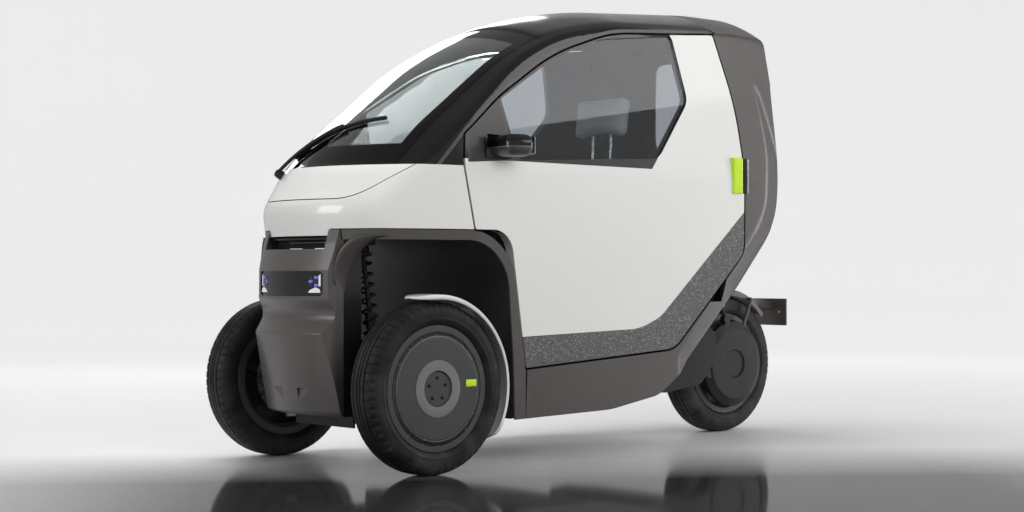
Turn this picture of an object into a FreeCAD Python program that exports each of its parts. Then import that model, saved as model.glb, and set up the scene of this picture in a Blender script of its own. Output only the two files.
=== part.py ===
import FreeCAD, Part
import math
import os

# Enclosed electric tricycle: two steered front wheels, one driven rear wheel,
# a narrow cabin for two people in line, and a front-hinged door on each side.
# Frame: origin on the ground under the middle of the vehicle, +X to the
# vehicle's left, the nose towards -Y, +Z up. All sizes in millimetres.

V = FreeCAD.Vector
doc = FreeCAD.newDocument("EnclosedTricycle")

# Driving dimensions
SIZES = [
    ("wheelbase", 1736, "front axle to rear axle"),
    ("axle_lead", 20, "how far the axles' middle lies ahead of the origin"),
    ("track", 776, "between the front tyres' middle planes"),
    ("body_width", 780, "over the doors below the window line"),
    ("roof_height", 1550, "ground to the roof's crown"),
    ("belt_height", 926, "ground to the foot of the windscreen"),
    ("tyre_diameter", 516, "all three tyres"),
    ("tyre_width", 112, "all three tyres"),
    ("rim_radius", 178, "bead seat of the tyres"),
    ("rim_width", 92, "between the rim's outer edges"),
    ("wall", 34, "doors, pillars, sills and body hoops"),
    ("skin", 6, "moulded nose, roof and tail panels"),
    ("glass", 5, "windscreen, side and rear glass"),
    ("door_gap", 7, "shut line round a door"),
    ("panel_gap", 3, "seam between fixed panels"),
    ("running_gap", 0.3, "between a pin and its eye"),
    ("kingpin_inset", 58, "wheel plane to steering axis"),
    ("fender_clearance", 17, "tread to the front wheel's fender"),
    ("fender_width", 124, "front wheel's fender"),
    ("fascia_width", 384, "grey lower nose between the wheels"),
    ("lamp_bar_width", 330, "over both headlamps"),
    ("lamp_bar_height", 76, "headlamp bar"),
    ("hinge_pin", 10, "door hinge pin diameter"),
    ("hinge_lead", 25, "hinge axis ahead of the door's front edge"),
    ("wheel_rim_diameter", 330, "driver's steering wheel"),
    ("seat_width", 440, "driver's seat"),
    ("battery_length", 360, "traction battery block"),
    ("battery_width", 520, "traction battery block"),
    ("battery_height", 110, "traction battery block"),
    ("swing_arm_pivot", 560, "rear axle's pivot behind the origin, for the standard wheelbase"),
]
sheet = doc.addObject("Spreadsheet::Sheet", "Sizes")
for row, (alias, value, meaning) in enumerate(SIZES, 1):
    sheet.set("A%d" % row, meaning)
    sheet.set("B%d" % row, str(value))
    sheet.setAlias("B%d" % row, alias)
doc.recompute()


def size(alias):
    return float(sheet.get(alias))


WHEEL_R = size("tyre_diameter") / 2
FRONT_Y = -size("wheelbase") / 2 - size("axle_lead")
REAR_Y = size("wheelbase") / 2 - size("axle_lead")
WHEEL_X = size("track") / 2
KINGPIN_X = WHEEL_X - size("kingpin_inset")
HALF = size("body_width") / 2
BELT = size("belt_height")
WALL = size("wall")
SKIN = size("skin")
GLASS = size("glass")
GAP = size("door_gap")
SEAM = size("panel_gap")
FIT = size("running_gap")

# The outlines below are drawn for the standard body. A longer wheelbase
# stretches only the stretch between the front arch and the rear seat, a wider
# body spreads every x, and a taller one stretches what is above the belt.
DRAWN_BASE, DRAWN_WIDTH, DRAWN_ROOF, DRAWN_BELT = 1736, 780, 1550, 926
ARCH_BACK, SEAT_BACK = -480, 300


def along(y):
    front = (size("wheelbase") - DRAWN_BASE) / 2
    if y <= ARCH_BACK:
        return y - front
    if y >= SEAT_BACK:
        return y + front
    share = (y - ARCH_BACK) / (SEAT_BACK - ARCH_BACK)
    return y + front * (2 * share - 1)


def up(z):
    if z <= DRAWN_BELT:
        return z * BELT / DRAWN_BELT
    grow = (size("roof_height") - BELT) / (DRAWN_ROOF - DRAWN_BELT)
    return BELT + (z - DRAWN_BELT) * grow


def out(x):
    return x * size("body_width") / DRAWN_WIDTH


# Outline helpers: corner points with a radius become lines and arcs
def wire_of(corners, place):
    count = len(corners)
    turns = []
    for i in range(count):
        before, here, after = corners[i - 1], corners[i], corners[(i + 1) % count]
        u = (before[0] - here[0], before[1] - here[1])
        w = (after[0] - here[0], after[1] - here[1])
        lu, lw = math.hypot(*u), math.hypot(*w)
        u, w = (u[0] / lu, u[1] / lu), (w[0] / lw, w[1] / lw)
        opening = math.acos(max(-1, min(1, u[0] * w[0] + u[1] * w[1])))
        half = (math.pi - opening) / 2
        if here[2] <= 0 or half < 1e-4:
            turns.append((here[:2], None, here[:2]))
            continue
        reach = min(here[2] * math.tan(half), 0.48 * min(lu, lw))
        radius = reach / math.tan(half)
        bis = (u[0] + w[0], u[1] + w[1])
        dist = (math.hypot(radius, reach) - radius) / math.hypot(*bis)
        begin = (here[0] + u[0] * reach, here[1] + u[1] * reach)
        middle = (here[0] + bis[0] * dist, here[1] + bis[1] * dist)
        end = (here[0] + w[0] * reach, here[1] + w[1] * reach)
        turns.append((begin, middle, end))
    edges = []
    for i in range(count):
        begin, middle, end = turns[i]
        following = turns[(i + 1) % count][0]
        if middle:
            edges.append(Part.Arc(place(*begin), place(*middle), place(*end)).toShape())
        edges.append(Part.LineSegment(place(*end), place(*following)).toShape())
    return Part.Wire(edges)


def inset(corners, distances):
    """Move each edge of a closed outline inwards; edge i leaves corner i."""
    count = len(corners)
    if not isinstance(distances, (list, tuple)):
        distances = [distances] * count
    area = sum(corners[i - 1][0] * corners[i][1] - corners[i][0] * corners[i - 1][1] for i in range(count))
    turn = 1 if area > 0 else -1
    moved = []
    for i in range(count):
        a, b, c = corners[i - 1], corners[i], corners[(i + 1) % count]
        la, lc = math.hypot(b[0] - a[0], b[1] - a[1]), math.hypot(c[0] - b[0], c[1] - b[1])
        na = (-(b[1] - a[1]) / la * turn, (b[0] - a[0]) / la * turn)
        nc = (-(c[1] - b[1]) / lc * turn, (c[0] - b[0]) / lc * turn)
        da, dc = distances[i - 1], distances[i]
        det = na[0] * nc[1] - na[1] * nc[0]
        if abs(det) < 1e-3:
            dx, dy = na[0] * da, na[1] * da
        else:
            dx = (da * nc[1] - dc * na[1]) / det
            dy = (dc * na[0] - da * nc[0]) / det
        convex = det * turn > 0
        step = (da + dc) / 2
        radius = b[2]
        if radius > 0:
            radius = max(radius - step, 1) if convex else radius + step
        moved.append((b[0] + dx, b[1] + dy, radius))
    return moved


def side_outline(rows):
    return [(along(y), up(z), radius) for y, z, radius in rows]


def side_prism(corners, x_from=0, x_to=600):
    wire = wire_of(corners, lambda y, z: V(x_from, y, z))
    return Part.Face(wire).extrude(V(x_to - x_from, 0, 0))


def front_prism(corners, y_from, y_to):
    wire = wire_of(corners, lambda x, z: V(x, y_from, z))
    return Part.Face(wire).extrude(V(0, y_to - y_from, 0))


def plan_prism(corners, z_from, z_to):
    wire = wire_of(corners, lambda x, y: V(x, y, z_from))
    return Part.Face(wire).extrude(V(0, 0, z_to - z_from))


def block(x0, x1, y0, y1, z0, z1):
    return Part.makeBox(x1 - x0, y1 - y0, z1 - z0, V(x0, y0, z0))


def rod(start, end, radius):
    a, b = V(*start), V(*end)
    return Part.makeCylinder(radius, (b - a).Length, a, b - a)


def mirrored(shape):
    return shape.mirror(V(0, 0, 0), V(1, 0, 0))


def joined(shapes):
    whole = shapes[0]
    for other in shapes[1:]:
        whole = whole.fuse(other)
    return whole.removeSplitter()


def solids_only(shape):
    parts = [s for s in shape.Solids if s.Volume > 200]
    return parts[0] if len(parts) == 1 else Part.makeCompound(parts)


def keep(label, shape):
    piece = doc.addObject("Part::Feature", label)
    piece.Shape = solids_only(shape)
    piece.Label = label
    piece.Placement = FreeCAD.Placement()
    SUBPARTS.append(piece)
    return piece


SUBPARTS = []

# Body form: side profiles across the width, cut to plan outlines up the height.
# Columns: y and z on the centre line, y and z at the flank, corner radius,
# and 1 where the edge that leaves the corner is underside or wheel well.
PROFILE = [
    (-1105, 700, -924, 700, 0, 0),
    (-1119, 800, -938, 800, 90, 0),
    (-1040, 926, -859, 926, 60, 0),
    (-906, 1052, -734, 1052, 600, 0),
    (-560, 1310, -455, 1280, 1500, 0),
    (-330, 1430, -271, 1354, 900, 0),
    (-60, 1500, -60, 1388, 1500, 0),
    (560, 1550, 560, 1405, 900, 0),
    (738, 1552, 728, 1400, 30, 0),
    (768, 1240, 748, 1240, 900, 0),
    (808, 985, 790, 985, 600, 0),
    (785, 770, 768, 770, 260, 0),
    (560, 545, 560, 545, 900, 1),
    (270, 290, 270, 290, 60, 1),
    (120, 190, 120, 190, 150, 1),
    (-110, 153, -110, 153, 400, 1),
    (-532, 143, -532, 143, 0, 1),
    (-572, 700, -572, 700, 165, 1),
]
FLANK_X = 390
# Plan outlines. Columns: height, half width
WIDTHS = [(60, 380), (330, 390), (926, 390), (1600, 308)]
NOSE_TURN_Y, NOSE_TURN_R, NOSE_END_Y = -690, 565, -1180


def profile_solid(depth, under_depth):
    reach = out(FLANK_X + 10)
    share = ((FLANK_X + 10) / FLANK_X) ** 2
    wires = []
    for x in (-reach, 0, reach):
        corners, depths = [], []
        for y0, z0, y1, z1, radius, under in PROFILE:
            y = y0 + (y1 - y0) * share if x else y0
            z = z0 + (z1 - z0) * share if x else z0
            corners.append((along(y), up(z), radius))
            depths.append(under_depth if under else depth)
        wires.append(wire_of(inset(corners, depths), lambda y, z: V(x, y, z)))
    return Part.makeLoft(wires, True, False)


def plan_solid(depth):
    wires = []
    for height, half in WIDTHS:
        wide = out(half) - depth
        y0, y2 = along(NOSE_TURN_Y), along(NOSE_END_Y)
        y1 = (y0 + y2) / 2
        x1 = wide - (y1 - y0) ** 2 / (2 * NOSE_TURN_R)
        x2 = wide - (y2 - y0) ** 2 / (2 * NOSE_TURN_R)
        back = along(900)

        def at(x, y):
            return V(x, y, up(height))
        edges = [
            Part.LineSegment(at(wide, back), at(wide, y0)).toShape(),
            Part.Arc(at(wide, y0), at(x1, y1), at(x2, y2)).toShape(),
            Part.LineSegment(at(x2, y2), at(-x2, y2)).toShape(),
            Part.Arc(at(-x2, y2), at(-x1, y1), at(-wide, y0)).toShape(),
            Part.LineSegment(at(-wide, y0), at(-wide, back)).toShape(),
            Part.LineSegment(at(-wide, back), at(wide, back)).toShape(),
        ]
        wires.append(Part.Wire(edges))
    return Part.makeLoft(wires, True, True)


# The tail's edges are bevelled: what lies behind these two outlines goes.
# Columns: y, z and radius of the bevel's front edge, then of its rear edge.
BEVEL = [
    (395, 1440, 0, 520, 1440, 0),
    (560, 1230, 500, 690, 1230, 500),
    (672, 1000, 500, 795, 1000, 500),
    (668, 810, 250, 790, 800, 250),
    (205, 318, 0, 316, 290, 0),
    (180, -100, 0, 300, -100, 0),
    (1300, -100, 0, 1300, -100, 0),
    (1300, 1700, 0, 1300, 1700, 0),
    (150, 1700, 0, 280, 1700, 0),
]
BEVEL_FRONT_X, BEVEL_REAR_X = 394, 346


def bevel_tool(depth):
    front = [(along(row[0]), up(row[1]), row[2]) for row in BEVEL]
    rear = [(along(row[3]), up(row[4]), row[5]) for row in BEVEL]
    x0, x1 = out(BEVEL_FRONT_X), out(BEVEL_REAR_X)
    outer = wire_of(inset(front, [-depth] * len(front)), lambda y, z: V(x0, y, z))
    inner = wire_of(inset(rear, [-depth] * len(rear)), lambda y, z: V(x1, y, z))
    return Part.makeLoft([outer, inner], True, True)


BODY_SOLIDS = {}


def body_solid(depth, under_depth=None):
    """The body's outer form moved inwards; the underside may have its own depth."""
    if under_depth is None:
        under_depth = depth
    if (depth, under_depth) not in BODY_SOLIDS:
        solid = profile_solid(depth, under_depth).common(plan_solid(depth))
        bevel = bevel_tool(depth)
        BODY_SOLIDS[(depth, under_depth)] = solid.cut(bevel).cut(mirrored(bevel))
    return BODY_SOLIDS[(depth, under_depth)]


OUTER = body_solid(0)


def panel(zone, thick, sunk=0):
    """The stretch of the body's shell that lies inside a zone."""
    return body_solid(sunk, 0).common(zone).cut(body_solid(sunk + thick, 0))


FAR = 2000
PILLAR_X = out(300)
HEADER_Y, SPOILER_Y = along(-350), along(470)
HOOP_TOP = up(1440)

# Door: outline of the whole leaf, its window, and the stripe along its foot
DOOR = side_outline([
    (-730, 1022, 6), (-580, 1146, 700), (-330, 1302, 900), (-60, 1392, 700),
    (452, 1436, 10), (535, 1190, 900), (552, 1000, 600), (550, 670, 90),
    (190, 345, 110), (-492, 303, 8), (-556, 733, 190), (-699, 733, 6), (-740, 930, 150),
])
WINDOW = side_outline([
    (-575, 1142, 8), (-330, 1290, 500), (-120, 1370, 500), (238, 1413, 18),
    (292, 1190, 60), (120, 985, 70), (-520, 951, 8),
])
SAIL = side_outline([(-712, 1030, 4), (-586, 1136, 4), (-533, 951, 4), (-728, 937, 4)])
STRIPE = side_outline([
    (-700, 380, 0), (-500, 401, 4), (20, 415, 250), (120, 452, 150), (600, 855, 0), (700, 500, 0), (0, 100, 0), (-700, 100, 0),
])
STRIPE_DEPTH = 4

hinge_y = min(y for y, z, radius in DOOR) - size("hinge_lead")
hinge_x = HALF - 22
HINGE_HEIGHTS = (up(785), up(885))


door_space = side_prism(inset(DOOR, -GAP))
door_leaf = panel(side_prism(DOOR), WALL)
window_hole = side_prism(WINDOW)
sail_hole = side_prism(SAIL)
stripe_zone = side_prism(STRIPE)
stripe_layer = panel(side_prism(DOOR).common(stripe_zone), STRIPE_DEPTH)
door_leaf = door_leaf.cut(window_hole).cut(sail_hole).cut(stripe_layer)

# Hinge: a knuckle on the door round a pin carried by the body
NECK = 46
hinge_leaves, hinge_pins = [], []
for height in HINGE_HEIGHTS:
    eye = rod((hinge_x, hinge_y, height - 15), (hinge_x, hinge_y, height + 15), size("hinge_pin") / 2 + 3.2)
    web = block(hinge_x - NECK, hinge_x, hinge_y - 3, hinge_y + 3, height - 14, height + 14)
    arm = block(hinge_x - NECK, hinge_x - NECK + 6, hinge_y - 3, hinge_y + 76, height - 14, height + 14)
    pad = block(hinge_x - NECK, HALF - WALL + 2, hinge_y + 56, hinge_y + 76, height - 14, height + 14)
    leaf = joined([eye, arm, web, pad])
    hole = rod((hinge_x, hinge_y, height - 20), (hinge_x, hinge_y, height + 20), size("hinge_pin") / 2 + FIT)
    hinge_leaves.append(leaf.cut(hole))
    pin = rod((hinge_x, hinge_y, height - 24), (hinge_x, hinge_y, height + 24), size("hinge_pin") / 2)
    ends = []
    for low in (height - 24, height + 18):
        ends.append(block(hinge_x - 30, HALF - SKIN, hinge_y - 7, hinge_y + 7, low, low + 6))
    back = block(hinge_x - 12, HALF - SKIN, hinge_y - 16, hinge_y - 12, height - 24, height + 24)
    ends += [back, block(hinge_x - 12, HALF - SKIN, hinge_y - 16, hinge_y - 7, height - 24, height - 18),
             block(hinge_x - 12, HALF - SKIN, hinge_y - 16, hinge_y - 7, height + 18, height + 24)]
    hinge_pins.append(joined([pin] + ends).common(body_solid(SKIN, 0)))
door_leaf = joined([solids_only(door_leaf)] + hinge_leaves)

GLASS_SUNK = 6
door_glass = panel(window_hole, GLASS, GLASS_SUNK)
keep("door_left", door_leaf)
keep("door_right", mirrored(door_leaf))
keep("door_stripe_left", stripe_layer)
keep("door_stripe_right", mirrored(stripe_layer))
keep("door_glass_left", door_glass)
keep("door_glass_right", mirrored(door_glass))

# Handle: a flat grip over the door's rear edge
handle_y0, handle_y1 = along(488), along(538)
handle = block(HALF - 8, HALF + 9, handle_y0, handle_y1, up(878), up(1004))
handle = handle.makeFillet(6, [e for e in handle.Edges if e.BoundBox.XMin > HALF + 8.9])
handle = handle.cut(door_leaf)
keep("door_hinges", Part.makeCompound(hinge_pins + [mirrored(pin) for pin in hinge_pins]))
keep("door_handle_left", handle)
keep("door_handle_right", mirrored(handle))

# Mirror: sail plate in the window's front corner, arm and housing
sail_plate = panel(sail_hole, SKIN)
mirror_low, mirror_high = up(952), up(1027)
housing = plan_prism([
    (HALF + 2, along(-668), 12), (out(505), along(-652), 26), (out(520), along(-560), 16), (HALF + 6, along(-535), 12),
], mirror_low, mirror_high)
housing = housing.makeFillet(9, [e for e in housing.Edges if abs(e.BoundBox.ZLength) < 0.1])
mirror_arm = rod((out(376), along(-620), up(985)), (HALF + 20, along(-612), up(985)), 15)
mirror_piece = joined([solids_only(sail_plate), mirror_arm, housing])
keep("mirror_left", mirror_piece)
keep("mirror_right", mirrored(mirror_piece))

# Slim rain rail over the door, from the belt to the hoop
RAIL = side_outline([
    (-838, 926, 0), (-734, 1040, 60), (-584, 1164, 700), (-334, 1320, 900), (-62, 1410, 700), (452, 1454, 0),
    (452, 1443, 0), (-60, 1399, 700), (-330, 1309, 900), (-580, 1153, 700), (-729, 1029, 60), (-823, 926, 0),
])
rail_space = side_prism(RAIL, PILLAR_X)
rain_rail = panel(rail_space, SKIN * 2).cut(door_space)
rain_rail = rain_rail.cut(block(0, FAR, -FAR, FAR, -FAR, BELT))
keep("rain_rails", Part.makeCompound([solids_only(rain_rail), mirrored(solids_only(rain_rail))]))

# Pillar and roof rail: gloss band between windscreen and door
pillar_zone = block(PILLAR_X, FAR, -FAR, along(458), BELT, FAR)
pillar = panel(pillar_zone, WALL).cut(door_space).cut(rain_rail)
keep("roof_pillars", Part.makeCompound([solids_only(pillar), mirrored(solids_only(pillar))]))

# Windscreen, roof and the tail's upper parts between the pillars
middle = block(-PILLAR_X, PILLAR_X, -FAR, HEADER_Y, BELT, FAR)
windscreen = panel(middle, GLASS)
keep("windscreen", windscreen)
roof_zone = block(-PILLAR_X, PILLAR_X, HEADER_Y, SPOILER_Y, up(1300), FAR)
roof = panel(roof_zone, SKIN * 2)
keep("roof_panel", roof)
spoiler_zone = block(-FAR, FAR, SPOILER_Y, FAR, HOOP_TOP, FAR)
spoiler = panel(spoiler_zone, WALL).cut(door_space)
keep("rear_spoiler", spoiler)

# Body hoop and sill on each side, one moulding from roof to front arch
SILL_FRONT = along(-486)
hoop_zone = block(PILLAR_X, FAR, along(458), FAR, up(303) - 1, HOOP_TOP)
sill_zone = block(PILLAR_X, FAR, SILL_FRONT, FAR, 0, up(500))
hoop = panel(joined([hoop_zone, sill_zone]), WALL).cut(door_space)
FLOOR_TOP = up(296)
hoop = hoop.cut(block(PILLAR_X - 1, HALF - WALL - 8, -FAR, along(560), -10, up(500)))
keep("body_hoops", Part.makeCompound([solids_only(hoop), mirrored(solids_only(hoop))]))

# White nose shell over the arches, with a separate upper panel
BONNET = [(-350, 932, 0), (-225, 824, 150), (225, 824, 150), (350, 932, 0)]
bonnet_outline = [(out(x), up(z), radius) for x, z, radius in BONNET]
nose_zone = side_prism(side_outline([
    (-1400, 926, 0), (-1400, 733, 0), (-706, 733, 0), (-746, 926, 0),
]), -FAR, FAR)
nose_zone = joined([nose_zone, block(-out(156), out(156), -FAR, along(-1000), up(712), up(740))])
bonnet_space = front_prism(inset(bonnet_outline, -SEAM), along(-1400), along(-800))
bonnet_zone = front_prism(bonnet_outline, along(-1400), along(-800))
nose = panel(nose_zone, SKIN)
keep("front_shell", nose.cut(bonnet_space).cut(door_space).cut(mirrored(door_space)))
keep("bonnet_panel", nose.common(bonnet_zone))

# Grey band round each front arch
FASCIA_X = size("fascia_width") / 2
band_zone = side_prism(side_outline([
    (-1400, 733 - SEAM, 0), (-1400, 700, 0), (-572, 700, 165), (-532, 143, 0),
    (-486 - SEAM, 143, 0), (-490 - SEAM, 303, 0), (-556 - SEAM, 733 - SEAM, 190),
]), FASCIA_X + SEAM, FAR)
arch_band = panel(band_zone, SKIN).cut(door_space)
keep("arch_bands", Part.makeCompound([solids_only(arch_band), mirrored(solids_only(arch_band))]))

# Wheel well liner: the sheet over and behind the front wheels
liner_zone = block(-FAR, FAR, along(-1100), along(-520), up(150), up(712))
keep("wheel_well_liner", body_solid(SKIN, 0).common(liner_zone).cut(body_solid(SKIN, SKIN)))

# Tub: tray under the floor with the battery inside, floor panel over it
TUB = side_outline([(-520, 143, 0), (-110, 153, 400), (120, 190, 150), (268, 289, 0), (262, 296, 0), (-520, 296, 0)])
tub_half = out(345)
tub = side_prism(TUB, -tub_half, tub_half)
tub_pocket = side_prism(inset(TUB, [SKIN, SKIN, SKIN, SKIN, 0, SKIN]), SKIN - tub_half, tub_half - SKIN)
floor_sheet = block(-tub_half, tub_half, along(-520), along(262), FLOOR_TOP - SKIN, FLOOR_TOP)
keep("chassis_tub", tub.cut(tub_pocket).cut(floor_sheet))
keep("floor_panel", floor_sheet)
tail_half = out(250)
TAIL = side_outline([(165, 190, 30), (300, 182, 60), (480, 205, 40), (562, 290, 60), (562, 388, 20), (420, 430, 0), (272, 295, 0)])
tail_piece = side_prism(TAIL, -tail_half, tail_half).cut(tub)
tail_piece = tail_piece.cut(OUTER)
PIVOT_Y, PIVOT_Z = along(size("swing_arm_pivot") - 10) - 40, 300
HOUSING_X0, HOUSING_X1, HOUSING_R = 64, 94, 160
tail_piece = tail_piece.cut(block(-60 - FIT, HOUSING_X1 - 4 + FIT, PIVOT_Y - 30, FAR, -FAR, FAR))
keep("tail_housing", tail_piece)

battery = doc.addObject("Part::Box", "battery_block")
battery.setExpression("Length", "Sizes.battery_width")
battery.setExpression("Width", "Sizes.battery_length")
battery.setExpression("Height", "Sizes.battery_height")
battery.setExpression(".Placement.Base.x", "-Sizes.battery_width / 2")
battery_rear = along(-140)
tub_rise = (up(153) - up(143)) / (along(-110) - along(-532))
battery_foot = up(143) + tub_rise * (battery_rear - along(-532)) + SKIN + FIT
battery.Placement.Base = V(0, battery_rear - size("battery_length"), battery_foot)
battery.setExpression(".Placement.Base.x", "-Sizes.battery_width / 2")
battery.Label = "battery_block"
SUBPARTS.append(battery)

# Sheet that closes the cabin behind the passenger, over the rear wheel
tray_zone = block(-PILLAR_X, PILLAR_X, along(270), FAR, up(250), up(700))
keep("rear_undertray", body_solid(SKIN, 0).common(tray_zone).cut(body_solid(SKIN, SKIN)))

# Rear panel and rear window between the hoops
REAR_WINDOW = [(-255, 1060, 40), (255, 1060, 40), (215, 1400, 40), (-215, 1400, 40)]
rear_window_outline = [(out(x), up(z), radius) for x, z, radius in REAR_WINDOW]
rear_zone = block(-PILLAR_X, PILLAR_X, along(580), FAR, up(700), HOOP_TOP)
rear_hole = front_prism(rear_window_outline, along(560), along(900))
LAMP = [(205, 800, 10), (285, 800, 10), (285, 925, 10), (205, 925, 10)]
lamp_outline = [(out(x), up(z), radius) for x, z, radius in LAMP]
lamp_hole = front_prism(lamp_outline, along(560), along(900))
rear_skin = panel(rear_zone, SKIN * 2)
keep("rear_panel", rear_skin.cut(rear_hole).cut(lamp_hole).cut(mirrored(lamp_hole)))
keep("rear_window", panel(rear_zone.common(rear_hole), GLASS))
lamp = panel(rear_zone.common(lamp_hole), SKIN * 2)
keep("tail_lamps", Part.makeCompound([solids_only(lamp), mirrored(solids_only(lamp))]))

# Grey lower nose. Columns: y on the centre line, z, radius
FASCIA_FACE = [
    (-1105, 730, 0), (-1117, 690, 30), (-1136, 612, 30), (-1137, 520, 30), (-1112, 470, 60), (-1152, 418, 8),
    (-1098, 168, 20),
]
FASCIA_BACK_Y = -985
PLAN_DROP = 0.00100


def fascia_solid(depth, face, top, bottom):
    reach = FASCIA_X + 20
    wires = []
    for x in (-reach, 0, reach):
        set_back = PLAN_DROP * x * x
        corners = [(along(y) + set_back, z, radius) for y, z, radius in face]
        corners += [(along(FASCIA_BACK_Y), bottom, 0), (along(FASCIA_BACK_Y), top, 0)]
        depths = [depth] * (len(face) - 1) + [depth, 0, 0]
        wires.append(wire_of(inset(corners, depths), lambda y, z: V(x, y, z)))
    return Part.makeLoft(wires, True, False)


def fascia_plan(depth, half):
    y_back, y_front = along(FASCIA_BACK_Y) + 10, along(-1200)
    wide = half - depth
    return plan_prism([(-wide, y_back, 0), (-wide, along(-1085), 60), (-wide + 60, y_front, 0),
                       (wide - 60, y_front, 0), (wide, along(-1085), 60), (wide, y_back, 0)], -FAR, FAR)


FASCIA_WALL = 7
fascia_full = fascia_solid(0, FASCIA_FACE, 706 + 24, 168).common(fascia_plan(0, FASCIA_X))
fascia_core = fascia_solid(FASCIA_WALL, FASCIA_FACE, 706 + 24, 168).common(fascia_plan(FASCIA_WALL, FASCIA_X))
fascia_core = joined([solids_only(fascia_core), block(-FASCIA_X + FASCIA_WALL, FASCIA_X - FASCIA_WALL,
                                                      along(FASCIA_BACK_Y) - 20, along(FASCIA_BACK_Y) + 40, 100, 760)])
fascia = fascia_full.cut(fascia_core)
slot_half, bar_half = out(156), size("lamp_bar_width") / 2
slot = block(-slot_half, slot_half, along(-1200), along(-1060), 672, 740)
bar_low = 568 - size("lamp_bar_height") / 2
bar_high = 568 + size("lamp_bar_height") / 2
bar_outline = [(-bar_half, bar_low, 14), (bar_half, bar_low, 14), (bar_half, bar_high, 14), (-bar_half, bar_high, 14)]
bar_hole = front_prism(bar_outline, along(-1200), along(-1060))
chin_low, chin_high = 186, 414
chin_outline = [(-112, chin_low, 12), (112, chin_low, 12), (150, chin_high, 12), (-150, chin_high, 12)]
chin_hole = front_prism(chin_outline, along(-1200), along(-1040))
fascia = fascia.cut(slot).cut(bar_hole).cut(chin_hole)
fascia = fascia.cut(OUTER)
keep("front_fascia", fascia)
chin_body = fascia_full.cut(fascia_solid(FASCIA_WALL + 5, FASCIA_FACE, 730, 168))
chin = chin_body.common(front_prism(inset(chin_outline, 0), along(-1200), along(-1040)))
recess_half, recess_w = 70, 62
for side in (-1, 1):
    pocket = block(side * recess_half - recess_w / 2, side * recess_half + recess_w / 2, along(-1200), along(-1107), 205, 252)
    chin = chin.cut(pocket)
keep("chin_panel", chin)
bar_solid = fascia_solid(4, FASCIA_FACE, 730, 168).cut(fascia_solid(26, FASCIA_FACE, 730, 168))
bar_all = bar_solid.common(front_prism(inset(bar_outline, 0), along(-1200), along(-1040)))
LAMP_INNER = bar_half - 62
lamp_zone = block(LAMP_INNER, FAR, -FAR, FAR, bar_low + 7, bar_high - 7).common(
    front_prism(inset(bar_outline, 7), along(-1200), along(-1040)))
lamp_front = fascia_solid(6, FASCIA_FACE, 730, 168).cut(fascia_solid(16, FASCIA_FACE, 730, 168))
lamp_left = lamp_front.common(lamp_zone)
keep("headlamp_bar", bar_all.cut(lamp_left).cut(mirrored(lamp_left)))
keep("headlamps", Part.makeCompound([solids_only(lamp_left), mirrored(solids_only(lamp_left))]))

# Subframe between the front wheels, with the steering rack's housing
RAIL_X = 92
ARM_LOW_Z, ARM_HIGH_Z = WHEEL_R - 100, WHEEL_R + 112
RACK_Y, RACK_Z = FRONT_Y + 92, WHEEL_R - 20
frame_back, frame_front = along(-532), along(FASCIA_BACK_Y)
rails = []
for side in (-1, 1):
    for height in (ARM_LOW_Z, ARM_HIGH_Z):
        rails.append(rod((side * RAIL_X, frame_front, height), (side * RAIL_X, frame_back, height), 17))
    rails.append(rod((side * RAIL_X, FRONT_Y - 110, ARM_LOW_Z), (side * RAIL_X, FRONT_Y - 110, up(690)), 14))
    rails.append(rod((side * RAIL_X, FRONT_Y + 120, ARM_LOW_Z), (side * RAIL_X, FRONT_Y + 120, ARM_HIGH_Z), 14))
for y in (FRONT_Y - 110, FRONT_Y + 120):
    for height in (ARM_LOW_Z, ARM_HIGH_Z):
        rails.append(rod((-RAIL_X, y, height), (RAIL_X, y, height), 12))
front_plate = block(-150, 150, frame_front, frame_front + 8, ARM_LOW_Z - 30, ARM_HIGH_Z + 30)
head_plate = block(-168, 168, FRONT_Y - 84, FRONT_Y - 26, up(684), up(699.5))
head_rail = block(-RAIL_X - 14, RAIL_X + 14, FRONT_Y - 124, FRONT_Y - 26, up(684), up(699.5))
rack_tube = rod((-RAIL_X - 40, RACK_Y, RACK_Z), (RAIL_X + 40, RACK_Y, RACK_Z), 22)
rack_bore = rod((-RAIL_X - 60, RACK_Y, RACK_Z), (RAIL_X + 60, RACK_Y, RACK_Z), 11 + FIT)
rack_mounts = [block(side * RAIL_X - 8, side * RAIL_X + 8, RACK_Y - 10, RACK_Y + 10, ARM_LOW_Z, RACK_Z) for side in (-1, 1)]
subframe = joined(rails + [front_plate, head_plate, head_rail, rack_tube] + rack_mounts).cut(rack_bore)
subframe = subframe.common(block(-FAR, FAR, frame_front, frame_back, -FAR, up(699.5)))
subframe = subframe.cut(OUTER)
keep("front_subframe", subframe)

# Wishbones and spring struts: fixed at ride height
arm_parts = []
for height in (ARM_LOW_Z, ARM_HIGH_Z):
    for y in (FRONT_Y - 62, FRONT_Y + 62):
        arm_parts.append(rod((RAIL_X, y, height), (KINGPIN_X - 6, FRONT_Y, height), 11))
        arm_parts.append(rod((RAIL_X, y - 20, height), (RAIL_X, y + 20, height), 23))
arm_low_set = joined([a for a in arm_parts[:4]])
arm_high_set = joined([a for a in arm_parts[4:]])
pin_low = rod((KINGPIN_X, FRONT_Y, ARM_LOW_Z - 24), (KINGPIN_X, FRONT_Y, ARM_LOW_Z + 24), 9)
pin_high = rod((KINGPIN_X, FRONT_Y, ARM_HIGH_Z - 24), (KINGPIN_X, FRONT_Y, ARM_HIGH_Z + 24), 9)
arm_low_set = joined([arm_low_set, rod((KINGPIN_X, FRONT_Y, ARM_LOW_Z - 12), (KINGPIN_X, FRONT_Y, ARM_LOW_Z + 12), 17), pin_low])
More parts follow.
